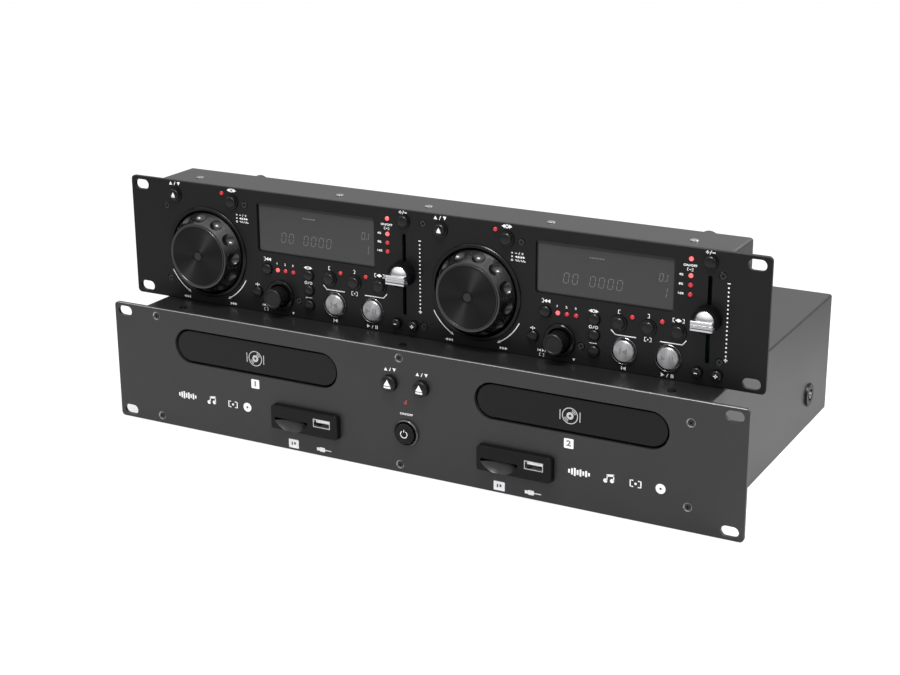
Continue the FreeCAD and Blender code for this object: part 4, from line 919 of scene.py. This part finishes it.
def display_masks(deck):
    """The dark border behind the edge of the window. It is wider at the top and left, where it is
    painted shade from the window's recess.
    """
    x, z = on_deck(deck, WINDOW_MIDDLE[0], WINDOW_MIDDLE[1])
    outer = soft_block(x, z, WINDOW_SIZE[0], WINDOW_SIZE[1], 2.0)
    inner = soft_block(x + 0.2, z - 0.5, WINDOW_SIZE[0] - 2.2, WINDOW_SIZE[1] - 3.4, 1.2)
    mesh = slab("mask", [outer, inner], DISPLAY_FACE - 0.02, 0.03)
    return piece(f"display_mask_{deck}", mesh, "window_border_shade", "controller")


# --------------------------------------------------------------------- jog wheels
def jog_dots(deck):
    """Three low dots between each pair of finger dimples, on the cone's slope."""
    top = JOG_CONE_TOP
    foot = JOG_CONE_FOOT
    lean = math.atan2(top[0] - foot[0], foot[1] - top[1])
    meshes = []
    for step in range(DIMPLE_COUNT):
        turn = math.radians(DIMPLE_PHASE[deck] + 360 / DIMPLE_COUNT * (step + 0.5))
        for share in DOT_SHARES:
            radius = top[0] + (foot[0] - top[0]) * share
            y = CONTROLLER_FACE + top[1] + (foot[1] - top[1]) * share
            dot = bmesh.new()
            bmesh.ops.create_icosphere(dot, subdivisions=2, radius=DOT_RADIUS * MM)
            mesh = bpy.data.meshes.new("dot")
            dot.to_mesh(mesh)
            dot.free()
            flat = Matrix.Diagonal((DOT_FLATNESS, 1.0, 1.0, 1.0))
            tip = Matrix.Rotation(lean, 4, "Z")
            place = Matrix.Translation((radius * MM, y * MM, 0.0))
            about = Matrix.Rotation(-turn, 4, "Y")
            axis_x, axis_z = on_deck(deck, 0.0, JOG_Z)
            axis = Matrix.Translation((axis_x * MM, 0.0, axis_z * MM))
            mesh.transform(axis @ about @ place @ tip @ flat)
            meshes.append(mesh)
    dots = joined("jog_dots", meshes)
    return piece(f"jog_dots_{deck}", dots, "jog_black", f"jog_wheel_{deck}_body", 60)


def disc_rims(deck):
    """The disc's turned edge, in a lighter and glossier metal: a painted highlight line."""
    x, z = on_deck(deck, 0.0, JOG_Z)
    node = f"jog_disc_{deck}"
    paint(node, "disc_rim_highlight", lambda spot: math.hypot(spot.x - x, spot.z - z) > JOG_DISC_RIM)


def disc_hub(deck):
    """The small plain disc at the middle of the turned one."""
    face = corners(f"jog_disc_{deck}")[0].y
    ink = Ink(face, lambda x, z: on_deck(deck, x, z))
    ink.shape(circle(0.0, JOG_Z, JOG_HUB_RADIUS, 48))
    return ink.finish(f"jog_hub_{deck}", f"jog_wheel_{deck}_body", "jog_hub")


# -------------------------------------------------------------------------- screws
def cross(x, z, reach, width, turn):
    """The outline of a cross recess."""
    half = width / 2
    quarter = [(reach, -half), (reach, half), (half, half)]
    made = []
    for step in range(4):
        angle = math.radians(turn + 90 * step)
        c = math.cos(angle)
        s = math.sin(angle)
        for across, up in quarter:
            made.append((x + across * c - up * s, z + across * s + up * c))
    return made


def screw_faces(name, places, face, body, material):
    """The screws' faces, each with its cross cut through to the head below."""
    meshes = []
    for index, (x, z) in enumerate(places):
        turn = (37 * index) % 90
        loops = [circle(x, z, SCREW_FACE_RADIUS, 40), cross(x, z, *SCREW_CROSS, turn)]
        front = face + SCREW_FACE_SHY
        meshes.append(slab("screw", loops, front, SCREW_FACE_THICKNESS, SCREW_EASE))
    return piece(name, joined(name, meshes), material, body, 35)


def screw_dishes(name, places, face, body, material):
    """The sloping wall between each screw and the plate, which catches light on one side."""
    outer, lip, inner = DISH_RADII
    front = face + DISH_FRONT
    back = face + DISH_BACK
    outline = [(outer, back), (outer, front), (lip, front), (inner, back)]
    meshes = [lathe("dish", x, z, outline, 48) for x, z in places]
    return piece(name, joined(name, meshes), material, body, 20)


def panel_screws():
    """The screws of both face plates: bright dishes on the player, black on the controller."""
    places = [on_deck(deck, x, z) for deck in DECKS for x, z in DECK_SCREWS]
    places += [(x, CONTROLLER_FOOT + z) for x, z in END_SCREWS]
    face = CONTROLLER_FACE
    screw_faces("controller_screw_faces", places, face, "controller", "screw_face")
    screw_dishes("controller_screw_dishes", places, face, "controller", "gloss_black")
    screw_faces("player_screw_faces", PLAYER_SCREWS, PLAYER_FACE, "player", "screw_face")
    screw_dishes("player_screw_dishes", PLAYER_SCREWS, PLAYER_FACE, "player", "screw_dish")


def side_screw_faces():
    """The same on the screws of the player's sides."""
    for side in (-1, 1):
        meshes = []
        for y in SIDE_SCREWS_Y:
            loops = [circle(0, 0, SIDE_FACE_RADIUS, 40), cross(0, 0, *SIDE_CROSS, 20)]
            mesh = slab("screw", loops, 0.0, SIDE_FACE_THICKNESS, SCREW_EASE)
            turn = Matrix.Rotation(math.radians(90 * side), 4, "Z")
            place = Matrix.Translation((side * (SIDE_HEAD_X + 0.3) * MM, y * MM, SIDE_SCREW_Z * MM))
            mesh.transform(place @ turn)
            meshes.append(mesh)
        faces = joined("side_screws", meshes)
        piece(f"side_screw_faces_{side + 2}", faces, "dark_chrome", "player", 35)


# --------------------------------------------------------------------- indicators
def lens(name, x, z, face, material, body):
    """A domed lens that covers the tip of an indicator."""
    radius = LENS_RADIUS
    rise = LENS_RISE
    shoulder = face - rise * 0.35
    outline = [(radius, face + 0.4), (radius, shoulder)]
    for step in range(1, 7):
        angle = math.pi / 2 * step / 6
        outline.append((radius * math.cos(angle), shoulder - rise * 0.65 * math.sin(angle)))
    return piece(name, lathe(name, x, z, outline, 32), material, body, 50)


def indicators():
    """A lens on every indicator, lit or not as in LED_LEVELS."""
    for deck in DECKS:
        for name, (x, z, level) in LED_LEVELS.items():
            x, z = on_deck(deck, x, z)
            lens(f"lens_{name}_{deck}", x, z, CONTROLLER_FACE, level, "controller")
    lens("lens_power", *POWER_LED, PLAYER_FACE, "led_off", "player")


# --------------------------------------------------------------- finishes by place
def ring_edges(node, place, radii, front, finish):
    """Both bevels of a pressed ring, painted in a lighter metal: a painted highlight line on
    opposite sides.
    """
    inner, outer = radii
    bevel = (outer - inner) / 3
    reach = (outer - inner) / 2

    def on_bevel(spot):
        aside = abs(math.hypot(spot.x - place[0], spot.z - place[1]) - (inner + outer) / 2)
        return spot.y < front + bevel * 1.01 and reach - bevel < aside < reach + 0.02

    paint(node, finish, on_bevel)


def rings():
    """The painted highlight lines on the rings round the jog wheels and the large buttons."""
    for deck in DECKS:
        for x, z in TRANSPORT_PLACES:
            front = CONTROLLER_FACE - TRANSPORT_RING_PROUD
            ring_edges("bezel_rings", on_deck(deck, x, z), TRANSPORT_RING, front, "ring_highlight")
        front = CONTROLLER_FACE - JOG_RING_PROUD
        ring_edges("bezel_rings", on_deck(deck, 0.0, JOG_Z), JOG_RING, front, "bezel_highlight")
    front = PLAYER_FACE - POWER_RING_PROUD
    ring_edges("player_front_panel", POWER_PLACE, POWER_RING, front, "ring_highlight")


def faders(deck):
    """A black skirt under the silver dome and bar, whose two grooves are painted dark: painted
    shade in the grooves.
    """
    node = f"pitch_fader_{deck}"
    edge = CONTROLLER_FACE - FADER_SKIRT_TOP - 0.01
    paint(node, "rubber", lambda spot: spot.y > edge)
    top = CONTROLLER_FACE - FADER_BAR_TOP + 0.05
    bottom = top + FADER_GROOVE_DEPTH
    for z in FADER_GROOVES:
        low = CONTROLLER_FOOT + z - FADER_GROOVE_HALF
        high = CONTROLLER_FOOT + z + FADER_GROOVE_HALF
        paint(node, "groove_shade", lambda spot: top < spot.y < bottom and low < spot.z < high)


def ports():
    """The bright shell and the tongue of each memory socket, and the scoop beside it."""
    for left in PORT_LEFT:
        x = left + SOCKET_FROM_LEFT
        paint("media_ports", "steel", lambda spot: on_shell(spot, x))
        paint("media_ports", "tongue", lambda spot: on_tongue(spot, x))
        paint("media_ports", "port_scoop", lambda spot: in_scoop(spot, left))


def on_shell(spot, x):
    """The metal shell of the memory socket."""
    half_width, half_height = SOCKET_HALF
    return abs(spot.x - x) < half_width and abs(spot.z - SOCKET_Z) < half_height


def on_tongue(spot, x):
    """The light contact tongue in the upper half of the memory socket."""
    low, high = TONGUE_Z
    return abs(spot.x - x) < TONGUE_HALF and low < spot.z < high and spot.y > PORT_FACE + TONGUE_SHY


def in_scoop(spot, left):
    """The thumb scoop's ball-shaped wall under the card slot."""
    across = SCOOP_ACROSS[0] < spot.x - left < SCOOP_ACROSS[1]
    along = SCOOP_Z[0] < spot.z < SCOOP_Z[1]
    deep = SCOOP_DEEP[0] < spot.y - PORT_FACE < SCOOP_DEEP[1]
    return across and along and deep


def rear_finishes():
    """The coloured collars and the metal sleeves of the phono sockets."""
    for x in PHONO_X:
        for z, colour in PHONO_ROWS:
            paint("rear_sockets", colour, lambda spot: between(spot, x, z, PHONO_COLLAR))
            paint("rear_sockets", "steel", lambda spot: between(spot, x, z, PHONO_SLEEVE))


def between(spot, x, z, radii):
    """Whether the spot's distance from a line along Y is between two radii."""
    inner, outer = radii
    return inner <= math.hypot(spot.x - x, spot.z - z) < outer


def top_screws():
    """Bright heads on the screws of the controller's top."""
    paint("controller_screws", "screw_steel", lambda spot: spot.z > CONTROLLER_TOP - TOP_HEAD_DROP)


def plate_edge():
    """The bevelled top rim of the player's face plate catches some real light, and is also painted
    a lighter grey: a painted highlight line.
    """
    low = corners("player_front_panel")[1].z - RIM_HEIGHT
    back = PLAYER_FACE + RIM_DEPTH
    paint("player_front_panel", "plate_edge", lambda spot: spot.z > low and spot.y < back)


# ------------------------------------------------------------------- camera, stage
def make_camera():
    """The camera of the fitted view."""
    data = bpy.data.cameras.new("camera")
    data.lens = CAMERA_LENS
    data.sensor_width = 36.0
    data.clip_start = 0.05
    data.clip_end = 100.0
    camera = bpy.data.objects.new("camera", data)
    camera.location = CAMERA_PLACE
    camera.rotation_euler = [math.radians(turn) for turn in CAMERA_TURN]
    bpy.context.scene.collection.objects.link(camera)
    bpy.context.scene.camera = camera


def seen_ray(tree):
    """One for the rays that show a thing to the eye, straight or by a reflection."""
    path = tree.nodes.new("ShaderNodeLightPath")
    strongest = path.outputs["Is Camera Ray"]
    for other in ("Is Glossy Ray", "Is Transmission Ray"):
        larger = tree.nodes.new("ShaderNodeMath")
        larger.operation = "MAXIMUM"
        tree.links.new(strongest, larger.inputs[0])
        tree.links.new(path.outputs[other], larger.inputs[1])
        strongest = larger.outputs[0]
    return strongest


def make_floor():
    """A plain white floor. To the eye it glows faintly, so that only the shadow shows."""
    mesh = bpy.data.meshes.new("floor")
    made = bmesh.new()
    bmesh.ops.create_circle(made, cap_ends=True, segments=96, radius=30.0)
    made.to_mesh(mesh)
    made.free()
    floor = bpy.data.objects.new("floor", mesh)
    bpy.context.scene.collection.objects.link(floor)
    surface = Surface("floor_white", (0.85, 0.85, 0.85), 0.6).lower_gloss(0.0).mottle(0.4, 0.01)
    tree = surface.tree
    output = tree.nodes["Material Output"]
    white = tree.nodes.new("ShaderNodeEmission")
    surface.link(floor_fall(surface), white.inputs["Strength"])
    soft = tree.nodes.new("ShaderNodeMixShader")
    soft.inputs[0].default_value = FLOOR_GLOW
    surface.link(surface.shader.outputs[0], soft.inputs[1])
    surface.link(white.outputs[0], soft.inputs[2])
    choice = tree.nodes.new("ShaderNodeMixShader")
    surface.link(seen_ray(tree), choice.inputs[0])
    surface.link(surface.shader.outputs[0], choice.inputs[1])
    surface.link(soft.outputs[0], choice.inputs[2])
    surface.link(choice.outputs[0], output.inputs["Surface"])
    mesh.materials.append(surface.material)


def floor_fall(surface):
    """In reflections the floor darkens away from the object; to the eye it doesn't."""
    coords = surface.tree.nodes.new("ShaderNodeTexCoord")
    away = surface.tree.nodes.new("ShaderNodeVectorMath")
    away.operation = "DISTANCE"
    away.inputs[1].default_value = FALL_CENTRE
    surface.link(coords.outputs["Object"], away.inputs[0])
    fall = surface.node("ShaderNodeMapRange")
    fall.inputs["From Min"].default_value = FALL_NEAR
    fall.inputs["From Max"].default_value = FALL_FAR
    fall.inputs["To Min"].default_value = 1.0
    fall.inputs["To Max"].default_value = 0.0
    surface.link(away.outputs["Value"], fall.inputs["Value"])
    path = surface.tree.nodes.new("ShaderNodeLightPath")
    level = surface.tree.nodes.new("ShaderNodeMath")
    level.operation = "MAXIMUM"
    surface.link(path.outputs["Is Camera Ray"], level.inputs[0])
    surface.link(fall.outputs["Result"], level.inputs[1])
    return level.outputs[0]


def make_world():
    """Soft studio light, stronger from above. To the eye the world is plain white."""
    world = bpy.data.worlds.new("studio")
    bpy.context.scene.world = world
    world.use_nodes = True
    tree = world.node_tree
    sky = tree.nodes["Background"]
    sky.inputs["Color"].default_value = (1.0, 1.0, 1.0, 1.0)
    coords = tree.nodes.new("ShaderNodeTexCoord")
    parts = tree.nodes.new("ShaderNodeSeparateXYZ")
    rise = tree.nodes.new("ShaderNodeMapRange")
    rise.inputs["From Min"].default_value = 0.0
    rise.inputs["From Max"].default_value = 0.6
    rise.inputs["To Min"].default_value = SKY_LOW
    rise.inputs["To Max"].default_value = SKY_HIGH
    tree.links.new(coords.outputs["Generated"], parts.inputs[0])
    tree.links.new(parts.outputs["Z"], rise.inputs["Value"])
    tree.links.new(rise.outputs["Result"], sky.inputs["Strength"])
    white = tree.nodes.new("ShaderNodeBackground")
    white.inputs["Color"].default_value = (1.0, 1.0, 1.0, 1.0)
    white.inputs["Strength"].default_value = 1.05
    choice = tree.nodes.new("ShaderNodeMixShader")
    path = tree.nodes.new("ShaderNodeLightPath")
    tree.links.new(path.outputs["Is Camera Ray"], choice.inputs[0])
    tree.links.new(sky.outputs[0], choice.inputs[1])
    tree.links.new(white.outputs[0], choice.inputs[2])
    tree.links.new(choice.outputs[0], tree.nodes["World Output"].inputs["Surface"])


def area_light(name, place, target, size, power):
    data = bpy.data.lights.new(name, "AREA")
    data.shape = "RECTANGLE"
    data.size = size[0]
    data.size_y = size[1]
    data.energy = power
    lamp = bpy.data.objects.new(name, data)
    lamp.location = place
    lamp.rotation_euler = (Vector(target) - Vector(place)).to_track_quat("-Z", "Y").to_euler()
    lamp.visible_camera = False
    bpy.context.scene.collection.objects.link(lamp)


def make_lights():
    """A large lamp above the front and a small one for the right side."""
    area_light("overhead", (0.12, -0.50, 1.30), (0.0, -0.1, 0.1), (0.55, 0.3), 14.0)
    area_light("side", (0.38, 0.02, 0.30), (0.30, 0.04, 0.0), (0.12, 0.2), 2.2)


def main():
    bpy.context.scene.view_settings.view_transform = "Standard"
    make_camera()
    make_world()
    make_lights()
    make_floor()
    dress_nodes()
    for deck in DECKS:
        controller_legends(deck)
        display_marks(deck)
        display_masks(deck)
        jog_dots(deck)
        disc_rims(deck)
        disc_hub(deck)
        faders(deck)
    player_legends()
    tray_marks()
    cap_marks()
    panel_screws()
    side_screw_faces()
    ports()
    rear_finishes()
    top_screws()
    plate_edge()
    rings()
    indicators()


main()
